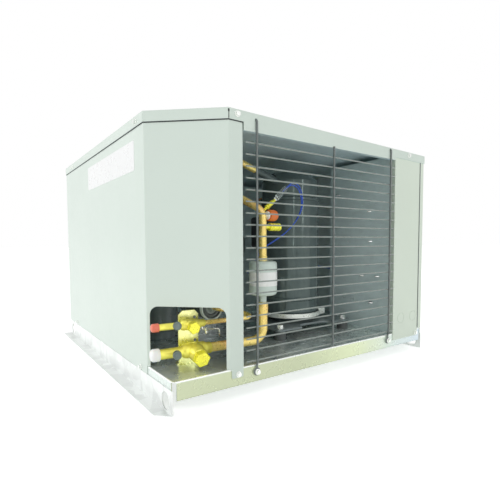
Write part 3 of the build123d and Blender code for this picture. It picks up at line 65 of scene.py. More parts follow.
class Look:
    """A material under construction: a Principled shader fed by procedural nodes in the row frame."""

    def __init__(self, name, metal=0.0, rough=0.5, coat=0.0, coat_rough=0.1):
        self.material = bpy.data.materials.new(name)
        self.material.use_nodes = True
        tree = self.material.node_tree
        self.nodes = tree.nodes
        self.links = tree.links
        self.shader = self.nodes["Principled BSDF"]
        self.shader.inputs["Metallic"].default_value = metal
        self.shader.inputs["Roughness"].default_value = rough
        self.shader.inputs["Coat Weight"].default_value = coat
        self.shader.inputs["Coat Roughness"].default_value = coat_rough
        self.place = self.nodes.new("ShaderNodeTexCoord").outputs["Object"]
        self.height = None

    def stretched(self, scale):
        mapping = self.nodes.new("ShaderNodeMapping")
        mapping.inputs["Scale"].default_value = scale
        self.links.new(self.place, mapping.inputs["Vector"])
        return mapping.outputs["Vector"]

    def noise(self, scale, detail=3.0, stretch=None):
        node = self.nodes.new("ShaderNodeTexNoise")
        node.inputs["Scale"].default_value = scale
        node.inputs["Detail"].default_value = detail
        self.links.new(self.stretched(stretch) if stretch else self.place, node.inputs["Vector"])
        return node.outputs["Fac"]

    def cells(self, scale):
        node = self.nodes.new("ShaderNodeTexVoronoi")
        node.inputs["Scale"].default_value = scale
        self.links.new(self.place, node.inputs["Vector"])
        return node.outputs["Color"]

    def bands(self, scale, direction="X", distortion=0.0):
        node = self.nodes.new("ShaderNodeTexWave")
        node.bands_direction = direction
        node.inputs["Scale"].default_value = scale
        node.inputs["Distortion"].default_value = distortion
        self.links.new(self.place, node.inputs["Vector"])
        return node.outputs["Fac"]

    def ramp(self, factor, *stops):
        """Stops are (position, colour or grey)."""
        node = self.nodes.new("ShaderNodeValToRGB")
        ramp = node.color_ramp
        while len(ramp.elements) < len(stops):
            ramp.elements.new(0.5)
        for element, (position, value) in zip(ramp.elements, stops):
            element.position = position
            rgb = (value,) * 3 if isinstance(value, (int, float)) else value
            element.color = (*rgb, 1.0)
        self.links.new(factor, node.inputs["Fac"])
        return node.outputs["Color"]

    def mix(self, factor, first, second, blend="MIX"):
        node = self.nodes.new("ShaderNodeMix")
        node.data_type = "RGBA"
        node.blend_type = blend
        for value, index in ((factor, MIX_FACTOR), (first, MIX_FIRST), (second, MIX_SECOND)):
            socket = node.inputs[index]
            if isinstance(value, (int, float)):
                socket.default_value = value
            elif isinstance(value, tuple):
                socket.default_value = (*value, 1.0)
            else:
                self.links.new(value, socket)
        return node.outputs[MIX_RESULT]

    def multiply(self, first, second):
        return self.mix(1.0, first, second, "MULTIPLY")

    def lighten(self, first, second):
        return self.mix(1.0, first, second, "LIGHTEN")

    def along(self, axis):
        """The place along an axis, in the row frame."""
        split = self.nodes.new("ShaderNodeSeparateXYZ")
        self.links.new(self.place, split.inputs["Vector"])
        return split.outputs[axis]

    def spread(self, value, low, high):
        """Value carried from low..high to 0..1."""
        node = self.nodes.new("ShaderNodeMapRange")
        node.inputs["From Min"].default_value = low
        node.inputs["From Max"].default_value = high
        self.links.new(value, node.inputs["Value"])
        return node.outputs["Result"]

    def facing(self, axis):
        """The surface normal's part along an axis, in the row frame."""
        split = self.nodes.new("ShaderNodeSeparateXYZ")
        self.links.new(self.nodes.new("ShaderNodeNewGeometry").outputs["Normal"], split.inputs["Vector"])
        return split.outputs[axis]

    def reach(self, centre, size):
        """Distance from a line along Y through centre, as a share of size."""
        flat = self.nodes.new("ShaderNodeMapping")
        flat.inputs["Location"].default_value = (-centre.x / size, 0, -centre.z / size)
        flat.inputs["Scale"].default_value = (1 / size, 0, 1 / size)
        self.links.new(self.place, flat.inputs["Vector"])
        length = self.nodes.new("ShaderNodeVectorMath")
        length.operation = "LENGTH"
        self.links.new(flat.outputs["Vector"], length.inputs[0])
        return length.outputs["Value"]

    def metallic(self, output):
        self.links.new(output, self.shader.inputs["Metallic"])
        return self

    def colour(self, output):
        self.links.new(output, self.shader.inputs["Base Color"])
        return self

    def roughness(self, output):
        self.links.new(output, self.shader.inputs["Roughness"])
        return self

    def bump(self, output, distance, strength=1.0):
        """Adds a relief of the given depth in metres; several calls stack."""
        node = self.nodes.new("ShaderNodeBump")
        node.inputs["Distance"].default_value = distance
        node.inputs["Strength"].default_value = strength
        self.links.new(output, node.inputs["Height"])
        if self.height is not None:
            self.links.new(self.height, node.inputs["Normal"])
        self.height = node.outputs["Normal"]
        self.links.new(self.height, self.shader.inputs["Normal"])
        return self

    def round_edges(self, radius):
        node = self.nodes.new("ShaderNodeBevel")
        node.samples = 6
        node.inputs["Radius"].default_value = radius
        self.height = node.outputs["Normal"]
        self.links.new(self.height, self.shader.inputs["Normal"])
        return self


def box_of(name):
    """A CAD node's low and high corners in the row frame."""
    corners = [nodes[name].matrix_world @ Vector(c) for c in nodes[name].bound_box]
    return [Vector(pick(c[i] for c in corners) for i in range(3)) for pick in (min, max)]


def shade(colour, factor):
    """A colour made lighter or darker, within white."""
    return tuple(min(1.0, c * factor) for c in colour)


def powder_coat(name, base, rough=0.42, sheet=True):
    """Smooth coat with a trace of cloudiness, and on sheet metal a fine orange-peel skin and eased edges."""
    look = Look(name, rough=rough, coat=0.12, coat_rough=0.3)
    cloud = look.noise(4.0, 4.0)
    look.colour(look.ramp(cloud, (0.3, shade(base, 0.975)), (0.7, shade(base, 1.02))))
    look.roughness(look.ramp(look.noise(60.0, 4.0), (0.3, rough - 0.05), (0.7, rough + 0.06)))
    if sheet:
        look.round_edges(0.0006)
        look.bump(look.noise(700.0, 2.0), 0.00006, 0.5)
    return look


def zinc_sheet(name, base, rough=0.34, spangle=60.0, contrast=0.16, metal=0.85, tint=None):
    """Galvanised sheet: crystals of slightly different brightness, rolling streaks and a cloudy passivation."""
    look = Look(name, metal=metal, rough=rough)
    crystals = look.ramp(look.cells(spangle), (0.0, 1.0 - contrast), (1.0, 1.0))
    cloud = look.ramp(look.noise(3.2, 3.0), (0.35, base), (0.65, tint or shade(base, 1.05)))
    streak = look.ramp(look.noise(30.0, 3.0, stretch=(1.0, 0.06, 1.0)), (0.3, 0.96), (0.7, 1.0))
    look.colour(look.multiply(look.multiply(cloud, crystals), streak))
    look.roughness(look.ramp(look.cells(spangle), (0.0, rough - 0.06), (1.0, rough + 0.1)))
    look.round_edges(0.0008)
    return look.bump(look.noise(260.0, 3.0), 0.00008, 0.4)


def pan_sheet():
    """Passivated zinc: a spangled top, yellow-green edges that pale to the right, a left side painted paler as lit,
    and painted highlights on the bends.
    """
    look = Look("pan_galvanised", rough=0.3)
    top = look.spread(look.along("Z"), PAN_TOP - 0.004, PAN_TOP - 0.0015)
    drift = look.mix(0.25, look.spread(look.along("X"), -0.1, 0.36), look.noise(5.0, 3.0))
    edge = look.ramp(drift, (0.15, (0.62, 0.68, 0.46)), (0.45, (0.80, 0.88, 0.58)), (0.85, (0.70, 0.81, 0.88)))
    # Painted light: the left-facing side is painted a paler grey-green, as the lit side of the same sheet.
    side = look.spread(look.facing("X"), -0.5, -0.9)
    edge = look.mix(side, edge, (0.72, 0.80, 0.76))
    crystals = look.mix(top, (1.0, 1.0, 1.0), look.ramp(look.cells(75.0), (0.0, 0.84), (1.0, 1.0)))
    cloud = look.noise(14.0, 5.0, stretch=(1.0, 0.35, 1.0))
    cloud = look.ramp(cloud, (0.35, (0.66, 0.75, 0.75)), (0.62, (0.88, 0.95, 0.90)))
    low, high = box_of("base_pan")
    # Painted highlight: where two of these faces meet, the bends are painted near white in place of their reflection.
    near_left = look.spread(look.along("X"), low.x + 0.0032, low.x + 0.0018)
    near_front = look.spread(look.along("Y"), low.y + 0.0032, low.y + 0.0018)
    near_top = look.spread(look.along("Z"), high.z - 0.0030, high.z - 0.0018)
    bends = look.multiply(near_left, near_front)
    bends = look.lighten(bends, look.multiply(near_left, near_top))
    bends = look.lighten(bends, look.multiply(near_front, near_top))
    sheet = look.multiply(look.mix(top, edge, cloud), crystals)
    look.colour(look.mix(bends, sheet, (0.97, 1.0, 0.97)))
    look.metallic(look.ramp(top, (0.0, 0.35), (1.0, 0.62)))
    look.roughness(look.ramp(look.noise(30.0, 3.0), (0.3, 0.20), (0.7, 0.34)))
    look.round_edges(0.0026)
    return look.bump(look.noise(60.0, 3.0), 0.0001, 0.3)


def lined_sheet(name, base, back_with_painted_light, axis):
    """Coated sheet outside, bare sheet on the side that faces back along an axis, its colour raised as painted light
    to stand in for light in the shaded interior.
    """
    look = powder_coat(name, base)
    # Painted light: the back faces take a lighter colour that stands in for the light the shaded interior lacks.
    under = look.spread(look.facing(axis), -0.3, -0.7)
    skin = look.shader.inputs["Base Color"].links[0].from_socket
    return look.colour(look.mix(under, skin, back_with_painted_light))


def turned_metal(name, base, rough=0.22, grain=420.0, stain=0.12, metal=1.0):
    """Machined or drawn metal with fine tool marks and faint staining."""
    look = Look(name, metal=metal, rough=rough)
    look.colour(look.ramp(look.noise(38.0, 5.0), (0.3, shade(base, 1.0 - stain)), (0.62, shade(base, 1.05))))
    look.roughness(look.ramp(look.noise(150.0, 4.0), (0.3, rough - 0.06), (0.7, rough + 0.12)))
    look.round_edges(0.0005)
    return look.bump(look.noise(grain, 2.0), 0.00005, 0.4)


def forged_brass(name, base):
    """Hot-forged brass with a fine sandy skin."""
    look = Look(name, metal=0.65, rough=0.42)
    look.colour(look.ramp(look.noise(70.0, 5.0), (0.3, shade(base, 0.84)), (0.68, shade(base, 1.08))))
    look.roughness(look.ramp(look.noise(120.0, 4.0), (0.3, 0.34), (0.7, 0.52)))
    look.round_edges(0.0012)
    return look.bump(look.noise(520.0, 4.0), 0.00022, 0.6)


def copper_tube(name, base, heat, metal=1.0, patch=26.0):
    """Drawn copper, darkened and pinked in patches by brazing heat."""
    look = Look(name, metal=metal, rough=0.25)
    patches = look.noise(patch, 4.0)
    look.colour(look.ramp(patches, (0.32, heat), (0.5, base), (0.75, shade(base, 1.1))))
    look.roughness(look.ramp(look.noise(90.0, 4.0), (0.3, 0.18), (0.7, 0.4)))
    return look.bump(look.noise(300.0, 3.0), 0.00006, 0.4)


def enamel(name, base, rough=0.22, coat=0.5, run=0.00012):
    """Brushed or dipped enamel with slight waves and a little dust."""
    look = Look(name, rough=rough, coat=coat, coat_rough=0.08)
    dust = look.noise(18.0, 5.0)
    look.colour(look.ramp(dust, (0.35, base), (0.8, tuple(c + 0.02 for c in base))))
    look.roughness(look.ramp(look.noise(45.0, 4.0), (0.3, rough - 0.07), (0.7, rough + 0.12)))
    look.round_edges(0.0008)
    return look.bump(look.noise(55.0, 2.0), run, 0.6)


def finned(name, base):
    """Stacked fins on edge: fine upright lines with painted shade in the gaps between fins, and faint rows of painted
    shadow where the tubes pass.
    """
    look = Look(name, metal=0.5, rough=0.42)
    lines = look.bands(157.0, "X")
    # Painted shade: the gaps between fins are painted darker, and the rows where the tubes pass are painted as faint
    # shadows.
    edges = look.ramp(lines, (0.2, shade(base, 0.4)), (0.65, base))
    rows = look.ramp(look.bands(12.4, "Z", distortion=0.3), (0.05, 0.70), (0.35, 1.0))
    dents = look.ramp(look.noise(18.0, 3.0, stretch=(1.0, 1.0, 0.3)), (0.35, 0.82), (0.65, 1.0))
    look.colour(look.multiply(look.multiply(edges, rows), dents))
    look.roughness(look.ramp(look.noise(40.0, 3.0), (0.3, 0.34), (0.7, 0.5)))
    return look.bump(lines, 0.0005, 0.8)


def guard_coat():
    """Level wires and, in front of them, uprights of the same coat painted darker as painted shade, the level wires
    being the lit ones.
    """
    look = enamel("guard_wire_coat", (0.44, 0.50, 0.455), rough=0.28, coat=0.4)
    # Painted shade: the uprights, in front of the level wires, are painted darker than the same coat on the level
    # wires.
    front = look.spread(look.along("Y"), GUARD_SPLIT + 0.0003, GUARD_SPLIT - 0.0003)
    skin = look.shader.inputs["Base Color"].links[0].from_socket
    return look.colour(look.mix(front, skin, (0.13, 0.155, 0.15)))


def moulded(name, base, rough=0.45, grain=900.0, clear=0.0):
    """Moulded plastic or rubber with a spark-eroded skin."""
    look = Look(name, rough=rough, coat=0.05)
    look.shader.inputs["Subsurface Weight"].default_value = clear
    look.shader.inputs["Subsurface Radius"].default_value = (0.004, 0.003, 0.002)
    look.colour(look.ramp(look.noise(25.0, 4.0), (0.3, shade(base, 0.93)), (0.7, shade(base, 1.05))))
    look.roughness(look.ramp(look.noise(200.0, 3.0), (0.3, rough - 0.08), (0.7, rough + 0.08)))
    look.round_edges(0.0005)
    return look.bump(look.noise(grain, 2.0), 0.00005, 0.5)


BODY_GREEN = (0.665, 0.760, 0.690)
FRONT_GREEN = (0.70, 0.79, 0.68)
DRIER_BLACK = (0.10, 0.115, 0.11)

panel = powder_coat("panel_paint", BODY_GREEN)
front_paint = powder_coat("front_panel_paint", FRONT_GREEN)
# The lid's underside and the right panel's inner face are bare sheet, coloured lighter as painted light for the
# shaded interior.
lid_paint = lined_sheet("lid_paint", BODY_GREEN, (0.76, 0.92, 0.96), "Z")
right_paint = lined_sheet("right_panel_paint", FRONT_GREEN, (0.90, 1.0, 1.0), "X")
pan_zinc = pan_sheet()
inner_zinc = zinc_sheet("inner_galvanised", (0.72, 0.85, 0.85), rough=0.5, spangle=80.0, contrast=0.08, metal=0.15)
rail_zinc = zinc_sheet("rail_galvanised", (0.90, 0.93, 0.91), rough=0.4, spangle=45.0, contrast=0.18, metal=0.6)
bracket_zinc = zinc_sheet("bracket_zinc", (0.96, 0.98, 0.44), rough=0.28, spangle=200.0, contrast=0.05)
screw_zinc = turned_metal("screw_zinc", (0.86, 0.88, 0.85), rough=0.24)
wire_coat = guard_coat()
brass_turned = turned_metal("brass_turned", (1.0, 0.93, 0.08), rough=0.26, metal=0.5)
brass_forged = forged_brass("brass_forged", (0.98, 0.88, 0.16))
copper = copper_tube("copper_tube", (0.95, 0.56, 0.20), (0.80, 0.33, 0.16))
# Painted light: a paler, less metallic copy of the tube copper, lightened to stand in for light on the lines in the
# shaded interior; its patches are real heat tint.
copper_painted_light = copper_tube("copper_painted_light", (1.0, 0.76, 0.24), (1.0, 0.56, 0.22), metal=0.45, patch=13.0)
black_enamel = enamel("black_enamel", (0.085, 0.112, 0.112), rough=0.12, coat=0.1, run=0.00005)
black_enamel.shader.inputs["Specular Tint"].default_value = (0.78, 1.0, 0.92, 1.0)
slate_enamel = enamel("slate_enamel", (0.19, 0.23, 0.24), rough=0.3, coat=0.15)
foot_steel = zinc_sheet("foot_steel", (0.24, 0.28, 0.285), rough=0.34, metal=0.3)
filter_enamel = enamel("filter_enamel", (0.66, 0.77, 0.71), rough=0.35, coat=0.2)
drier_enamel = enamel("drier_enamel", DRIER_BLACK, rough=0.3, coat=0.3)
# Painted light: the drier's end face is painted lighter than its black body, with a painted highlight on the rim and
# painted shade in the grooves between its rings.
end_painted_highlight_and_shade = drier_enamel.ramp(
    drier_enamel.reach(DRIER, 0.027),
    (0.0, (0.46, 0.54, 0.50)), (0.42, (0.38, 0.45, 0.42)), (0.52, (0.08, 0.09, 0.09)), (0.72, (0.22, 0.26, 0.25)),
    (0.82, (0.09, 0.10, 0.10)), (0.9, (0.85, 0.95, 0.88)))
near_end = drier_enamel.spread(drier_enamel.along("Y"), at(0, 129).y, at(0, 126).y)
drier_enamel.colour(drier_enamel.mix(near_end, DRIER_BLACK, end_painted_highlight_and_shade))
heater_braid = turned_metal("heater_band", (0.90, 0.94, 0.88), rough=0.3, grain=900.0, metal=0.4)
rubber = moulded("black_rubber", (0.10, 0.11, 0.11), rough=0.55)
cap_plastic = moulded("port_cap_plastic", (0.15, 0.20, 0.175), rough=0.22)
# Painted glint: the tongues are cut from the wall's sheet but get a brighter, glossier zinc than the wall, so that
# they show as bright dashes.
tongue_zinc_painted_glint = turned_metal("tongue_zinc_painted_glint", (0.95, 0.97, 0.95), rough=0.2, metal=0.75)
clear_vinyl = moulded("clear_vinyl", (0.80, 0.86, 0.84), rough=0.12)
clear_vinyl.shader.inputs["Transmission Weight"].default_value = 0.92
clear_vinyl.shader.inputs["IOR"].default_value = 1.2
black_plastic = moulded("black_plastic", (0.04, 0.045, 0.05), rough=0.38)
grey_plastic = moulded("grey_plastic", (0.33, 0.34, 0.35))
white_plastic = moulded("white_plastic", (0.93, 0.96, 0.93), rough=0.4, clear=0.3)
red_plastic = moulded("red_plastic", (0.82, 0.20, 0.12), rough=0.35, clear=0.15)
switch_plastic = moulded("switch_plastic", (0.80, 0.20, 0.04), rough=0.35)
blue_pvc = moulded("blue_lead_pvc", (0.02, 0.09, 0.55), rough=0.3)
fin_aluminium = finned("fin_aluminium", (0.55, 0.62, 0.64))
motor_enamel = enamel("motor_enamel", (0.03, 0.032, 0.034), rough=0.35, coat=0.2)
blade_metal = turned_metal("blade_aluminium", (0.78, 0.80, 0.81), rough=0.32)
shaft_metal = turned_metal("shaft_steel", (0.62, 0.63, 0.63), rough=0.22)
can_metal = turned_metal("can_aluminium", (0.80, 0.80, 0.79), rough=0.28)
plate_white = powder_coat("bare_plate_white", (0.86, 0.88, 0.87), rough=0.3, sheet=False)
# Painted shade: a black that stands in for the shadow in gaps between sheets.
gap_shade = moulded("black_gap_shade", (0.035, 0.04, 0.04), rough=0.8, grain=1500.0)
band_white = powder_coat("bare_band_white", (0.95, 0.97, 0.95), rough=0.35, sheet=False)

LOOKS = {
    "access_fitting": brass_turned, "base_pan": pan_zinc, "cabinet_screws": screw_zinc,
    "capillary_tube": screw_zinc, "coil_core": fin_aluminium, "coil_end_plates": inner_zinc,
    "compressor_bolts": screw_zinc, "compressor_foot": foot_steel, "compressor_grommets": rubber,
    "compressor_shell": black_enamel, "condensate_line": copper, "contactor_armature": black_plastic,
    "contactor_base": grey_plastic, "control_box": inner_zinc, "control_cover": front_paint,
    "crankcase_heater": heater_braid, "discharge_line": copper, "fan_blade": blade_metal,
    "fan_motor": motor_enamel, "fan_shaft": shaft_metal, "fan_shroud": inner_zinc, "filter_drier": drier_enamel,
    "guard_screws": screw_zinc, "lead_grommet": rubber, "left_rail": rail_zinc, "left_wrap_panel": panel,
    "lid": lid_paint, "liquid_cap": brass_turned, "liquid_line": copper_painted_light, "liquid_plug": red_plastic,
    "liquid_stem": brass_turned, "liquid_valve": brass_forged, "motor_straps": inner_zinc,
    "port_caps": black_plastic, "pressure_switch": switch_plastic, "receiver": slate_enamel,
    "receiver_line": copper, "return_bends": copper, "right_panel": right_paint, "right_rail": rail_zinc,
    "run_capacitor": can_metal, "suction_cap": brass_turned, "suction_filter": filter_enamel,
    "suction_line_lower": copper_painted_light, "suction_line_upper": copper_painted_light, "suction_plug": white_plastic,
    "suction_stem": brass_turned, "suction_valve": brass_forged, "switch_connector": white_plastic,
    "switch_leads": blue_pvc, "switch_tee": copper_painted_light, "terminal_cover": black_plastic,
    "terminal_strip": white_plastic, "valve_bracket": bracket_zinc, "wire_guard": wire_coat,
}
for name, node in nodes.items():
    node.data.materials.clear()
    node.data.materials.append(LOOKS[name].material)


# Added pieces

def new_piece(name, mesh_maker, look, body="cabinet"):
    """A mesh piece made by mesh_maker(bm), riding on a body."""
    mesh = bpy.data.meshes.new(name)
    bm = bmesh.new()
    mesh_maker(bm)
    bmesh.ops.recalc_face_normals(bm, faces=bm.faces)
    bm.to_mesh(mesh)
    bm.free()
    mesh.materials.append(look.material)
    mesh.shade_smooth()
    mesh.set_sharp_from_angle(angle=math.radians(34))
    return seated(bpy.data.objects.new(name, mesh), body)


def seated(piece, body="cabinet"):
    """Puts a piece into the scene, on its body."""
    bpy.context.collection.objects.link(piece)
    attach(piece, body)
    return piece


SQUARE = ((-1, -1), (1, -1), (1, 1), (-1, 1))


def bridge(bm, rows, closed=True):
    """Quads between neighbouring rows of vertices."""
    for first, second in zip(rows, rows[1:]):
        count = len(first)
        for i in range(count if closed else count - 1):
            j = (i + 1) % count
            bm.faces.new((first[i], first[j], second[j], second[i]))


def tube(bm, rows):
    """Closed rows of vertices joined to a solid with flat ends."""
    bridge(bm, rows)
    bm.faces.new(rows[0])
    bm.faces.new(rows[-1][::-1])


def spin(bm, origin, axis, profile, segments=48, knurl=0.0):
    """A form turned about a line. Profile points are (distance along the axis, radius), in millimetres."""
    turn = Vector(axis).normalized().to_track_quat("Z", "Y")
    widest = max(radius for along, radius in profile)
    rings = []
    for along, radius in profile:
        if radius == 0:
            rings.append([bm.verts.new(origin + turn @ Vector((0, 0, along / 1000)))])
            continue
        ring = []
        for step in range(segments):
            angle = 2 * math.pi * step / segments
            reach = radius - (knurl if step % 2 and radius == widest else 0)
            place = Vector((math.cos(angle) * reach, math.sin(angle) * reach, along)) / 1000
            ring.append(bm.verts.new(origin + turn @ place))
        rings.append(ring)
    for first, second in zip(rings, rings[1:]):
        for i in range(segments):
            j = (i + 1) % segments
            if len(first) == 1:
                bm.faces.new((first[0], second[j], second[i]))
            elif len(second) == 1:
                bm.faces.new((first[i], first[j], second[0]))
            else:
                bm.faces.new((first[i], first[j], second[j], second[i]))


def lead(name, points, radius, look, slot, *nodes_replaced):
    """A thin tube or wire on a smooth line through control points in the row frame."""
    curve = bpy.data.curves.new(name, "CURVE")
    curve.dimensions = "3D"
    curve.bevel_depth = radius
    curve.bevel_resolution = 4
    curve.use_fill_caps = True
    curve.resolution_u = 10
    spline = curve.splines.new("NURBS")
    spline.points.add(len(points) - 1)
    for control, point in zip(spline.points, points):
        control.co = (*point, 1.0)
    spline.order_u = 3
    spline.use_endpoint_u = True
    curve.materials.append(look.material)
    piece = seated(bpy.data.objects.new(name, curve))
    if nodes_replaced:
        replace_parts(piece, *nodes_replaced)
    return piece


def rounded_plate(bm, low_y, high_y, low_z, high_z, x_in, x_out, corner, steps=6):
    """A plate facing -X with rounded corners and a softened rim."""
    outline = []
    ends = ((high_y - corner, high_z - corner, 0), (low_y + corner, high_z - corner, 90),
            (low_y + corner, low_z + corner, 180), (high_y - corner, low_z + corner, 270))
    for centre_y, centre_z, start in ends:
        for step in range(steps + 1):
            angle = math.radians(start + 90 * step / steps)
            outline.append((centre_y + corner * math.cos(angle), centre_z + corner * math.sin(angle)))
    soft = 0.35 * abs(x_out - x_in)
    centre = Vector(((low_y + high_y) / 2, (low_z + high_z) / 2))
    rows = []
    for x, inset in ((x_in, 0.0), (x_out + soft * math.copysign(1, x_in - x_out), 0.0), (x_out, soft)):
        row = []
        for y, z in outline:
            offset = (Vector((y, z)) - centre)
            offset -= Vector((math.copysign(inset, offset.x), math.copysign(inset, offset.y)))
            row.append(bm.verts.new((x, centre.x + offset.x, centre.y + offset.y)))
        rows.append(row)
    bridge(bm, rows)
    bm.faces.new(rows[-1])
    bm.faces.new(rows[0])


PLATE_THICK = 0.0006
new_piece(
    "bare_name_plate",
    lambda bm: rounded_plate(bm, at(0, 166).y, at(0, 533).y, 0.445, 0.505, CORNER_X + 0.00001,
                             CORNER_X - PLATE_THICK, 0.004),
    plate_white,
)

# The lid's fall to the right, the height of its flange's lower edge at the left, and the cut-off corner
LID_FALL = 0.013 / 0.7592
FLANGE_Z = 0.528
CHAMFER_X = 118.0
CHAMFER_Y = 115.0


def ribbon(bm, path, inner, outer, low, high):
    """A strip on the left of a level path of (x, y) in millimetres, under the sloping lid."""
    points = [at(x, y).xy for x, y in path]
    rings = []
    for i, point in enumerate(points):
        sides = []
        for first, second in ((i - 1, i), (i, i + 1)):
            if first >= 0 and second < len(points):
                way = (points[second] - points[first]).normalized()
                sides.append(Vector((-way.y, way.x)))
        normal = sum(sides, Vector((0, 0)))
        normal = normal / normal.length
        normal /= normal.dot(sides[0])
        drop = LID_FALL * (point.x - CORNER_X)
        rings.append([
            bm.verts.new((*(point + normal * reach), z - drop))
            for reach, z in ((inner, low), (outer, low), (outer, high), (inner, high))
        ])
    tube(bm, rings)


# Painted shadow: a thin black strip under the lid's flange stands in for the shadow line in the gap between lid and
# panels.
new_piece(
    "lid_shadow_strip",
    lambda bm: ribbon(bm, ((CHAMFER_X + 32, 0), (CHAMFER_X, 0), (0, CHAMFER_Y), (0, 820)),
                      0.00002, 0.0010, FLANGE_Z - 0.0020, FLANGE_Z - 0.0001),
    gap_shade,
)


def gap_line(bm, corners):
    """A narrow dark strip between sheets, painted shade standing in for the shadow in the gap: pairs of (centre, half
    width, half depth) from bottom to top.
    """
    rings = []
    for centre, half_x, half_y in corners:
        rings.append([bm.verts.new(centre + Vector((a * half_x / 1000, b * half_y / 1000, 0)))
                      for a, b in SQUARE])
    tube(bm, rings)


# Painted shade: dark strips in the seam between cover and right panel, and at the lid's corner.
new_piece(
    "cover_gap",
    lambda bm: gap_line(bm, ((at(737.8, -0.3, 62), 0.75, 0.35), (at(737.8, -0.3, 515), 0.75, 0.35))),
    gap_shade,
)
new_piece(
    "lid_corner_gap",
    lambda bm: gap_line(bm, [(at(118.1, -0.95, z), half_x, half_y) for z, half_x, half_y in (
        (527, 0.7, 0.45), (538, 0.7, 0.45), (539, 1.5, 0.5), (543.5, 1.5, 0.5))]),
    gap_shade,
)


def curved_band(bm, axis_x, axis_y, radius, thick, low_z, high_z, start, end, steps=40):
    """A thin band wrapped round an upright cylinder."""
    rings = []
    for step in range(steps + 1):
        angle = math.radians(start + (end - start) * step / steps)
        way = Vector((math.cos(angle), math.sin(angle), 0))
        ring = []
        for reach, z in ((radius, low_z), (radius + thick, low_z + 0.3 * thick),
                         (radius + thick, high_z - 0.3 * thick), (radius, high_z)):
            ring.append(bm.verts.new((axis_x + way.x * reach, axis_y + way.y * reach, z)))
        rings.append(ring)
    tube(bm, rings)


# Service valves, their port caps, plugs and bracket

# The valves' run, turned a little from the cabinet's X, their back, and the centres of their bodies
YAW = math.radians(5)
RUN = Vector((math.cos(YAW), -math.sin(YAW), 0))
BACK = Vector((math.sin(YAW), math.cos(YAW), 0))
SUCTION = at(75, 62, 92)
LIQUID = at(64, 63, 143)


def sloped(side_turn, rise):
    """A direction out to the front, turned to the left and lifted, in degrees."""
    turn = YAW + math.radians(side_turn)
    lift = math.radians(rise)
    return Vector((-math.sin(turn) * math.cos(lift), -math.cos(turn) * math.cos(lift), math.sin(lift)))


# Root, direction and length of each service port
PORTS = ((SUCTION - RUN * 0.036, sloped(18, 4), 21.0), (LIQUID - RUN * 0.024, sloped(18, 10), 17.5))


def suction_body(bm):
    spin(bm, SUCTION, RUN, ((-77.5, 8), (-77.5, 9.6), (-27, 9.6), (-25, 10.4), (-23, 12.6), (-20, 14.2), (-8, 14.8),
                            (8, 14.8), (20, 14.2), (23, 12.4), (25, 11.4), (33, 11.2), (34, 10.4), (34, 9.6)))
    spin(bm, SUCTION, sloped(0, -14), ((0, 0), (0, 15), (6, 16.2), (9, 16.8), (20, 16.4), (22, 15.2), (28.4, 14.9),
                                       (29.7, 13.8), (29.7, 5.2), (26, 5.2), (26, 0)))
    spin(bm, SUCTION, BACK, ((4, 0), (4, 9), (19.9, 9), (19.9, 0)))
    spin(bm, PORTS[0][0], PORTS[0][1], ((0, 0), (0, 4.8), (16, 4.8), (17, 6.2), (21.4, 6.2), (21.4, 0)), 24)


def liquid_body(bm):
    spin(bm, LIQUID, RUN, ((-64, 5), (-64, 6.4), (-18.5, 6.4), (-17, 7.4), (-14.5, 9.8), (-12, 10.8), (11, 10.8),
                           (14, 9.6), (16, 8.4), (27, 7.6), (32, 7.2), (33.8, 6.2), (34, 4.9)))
    spin(bm, LIQUID, sloped(0, -4), ((0, 0), (0, 10.4), (7, 10.6), (13, 10.2), (14.5, 9), (19, 8.8), (19.8, 8),
                                     (19.8, 4.2), (16, 4.2), (16, 0)))
    spin(bm, LIQUID, BACK, ((3, 0), (3, 7), (19.9, 7), (19.9, 0)))
    spin(bm, PORTS[1][0], PORTS[1][1], ((0, 0), (0, 4.8), (13, 4.8), (14, 6.2), (17.9, 6.2), (17.9, 0)), 24)


def both_port_caps(bm):
    for origin, way, start in PORTS:
        steps = ((0, 0), (0, 7.6), (0.6, 8.3), (12.4, 8.3), (14, 7.4), (14.6, 6), (14.2, 5.2), (13.6, 4.8),
                 (13.6, 0))
        spin(bm, origin, way, tuple((start + along, radius) for along, radius in steps), 64, knurl=0.45)


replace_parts(new_piece("suction_valve_body", suction_body, brass_forged), "suction_valve")
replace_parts(new_piece("liquid_valve_body", liquid_body, brass_forged), "liquid_valve")
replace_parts(new_piece("knurled_port_caps", both_port_caps, cap_plastic), "port_caps")
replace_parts(new_piece(
    "suction_stub_cup",
    lambda bm: spin(bm, SUCTION, RUN, ((-86.5, 0), (-86.5, 7.6), (-85.8, 9.6), (-83.6, 11.4), (-82, 11.9),
                                       (-71.4, 12.1), (-70.6, 11.8), (-70.4, 9.7))),
    white_plastic), "suction_plug")
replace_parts(new_piece(
    "liquid_stub_cup",
    lambda bm: spin(bm, LIQUID, RUN, ((-74, 0), (-74, 4.6), (-73.4, 6.2), (-72, 7.4), (-70.6, 7.9),
                                      (-60.4, 8.1), (-59.6, 7.8), (-59.4, 6.5))),
    red_plastic), "liquid_plug")


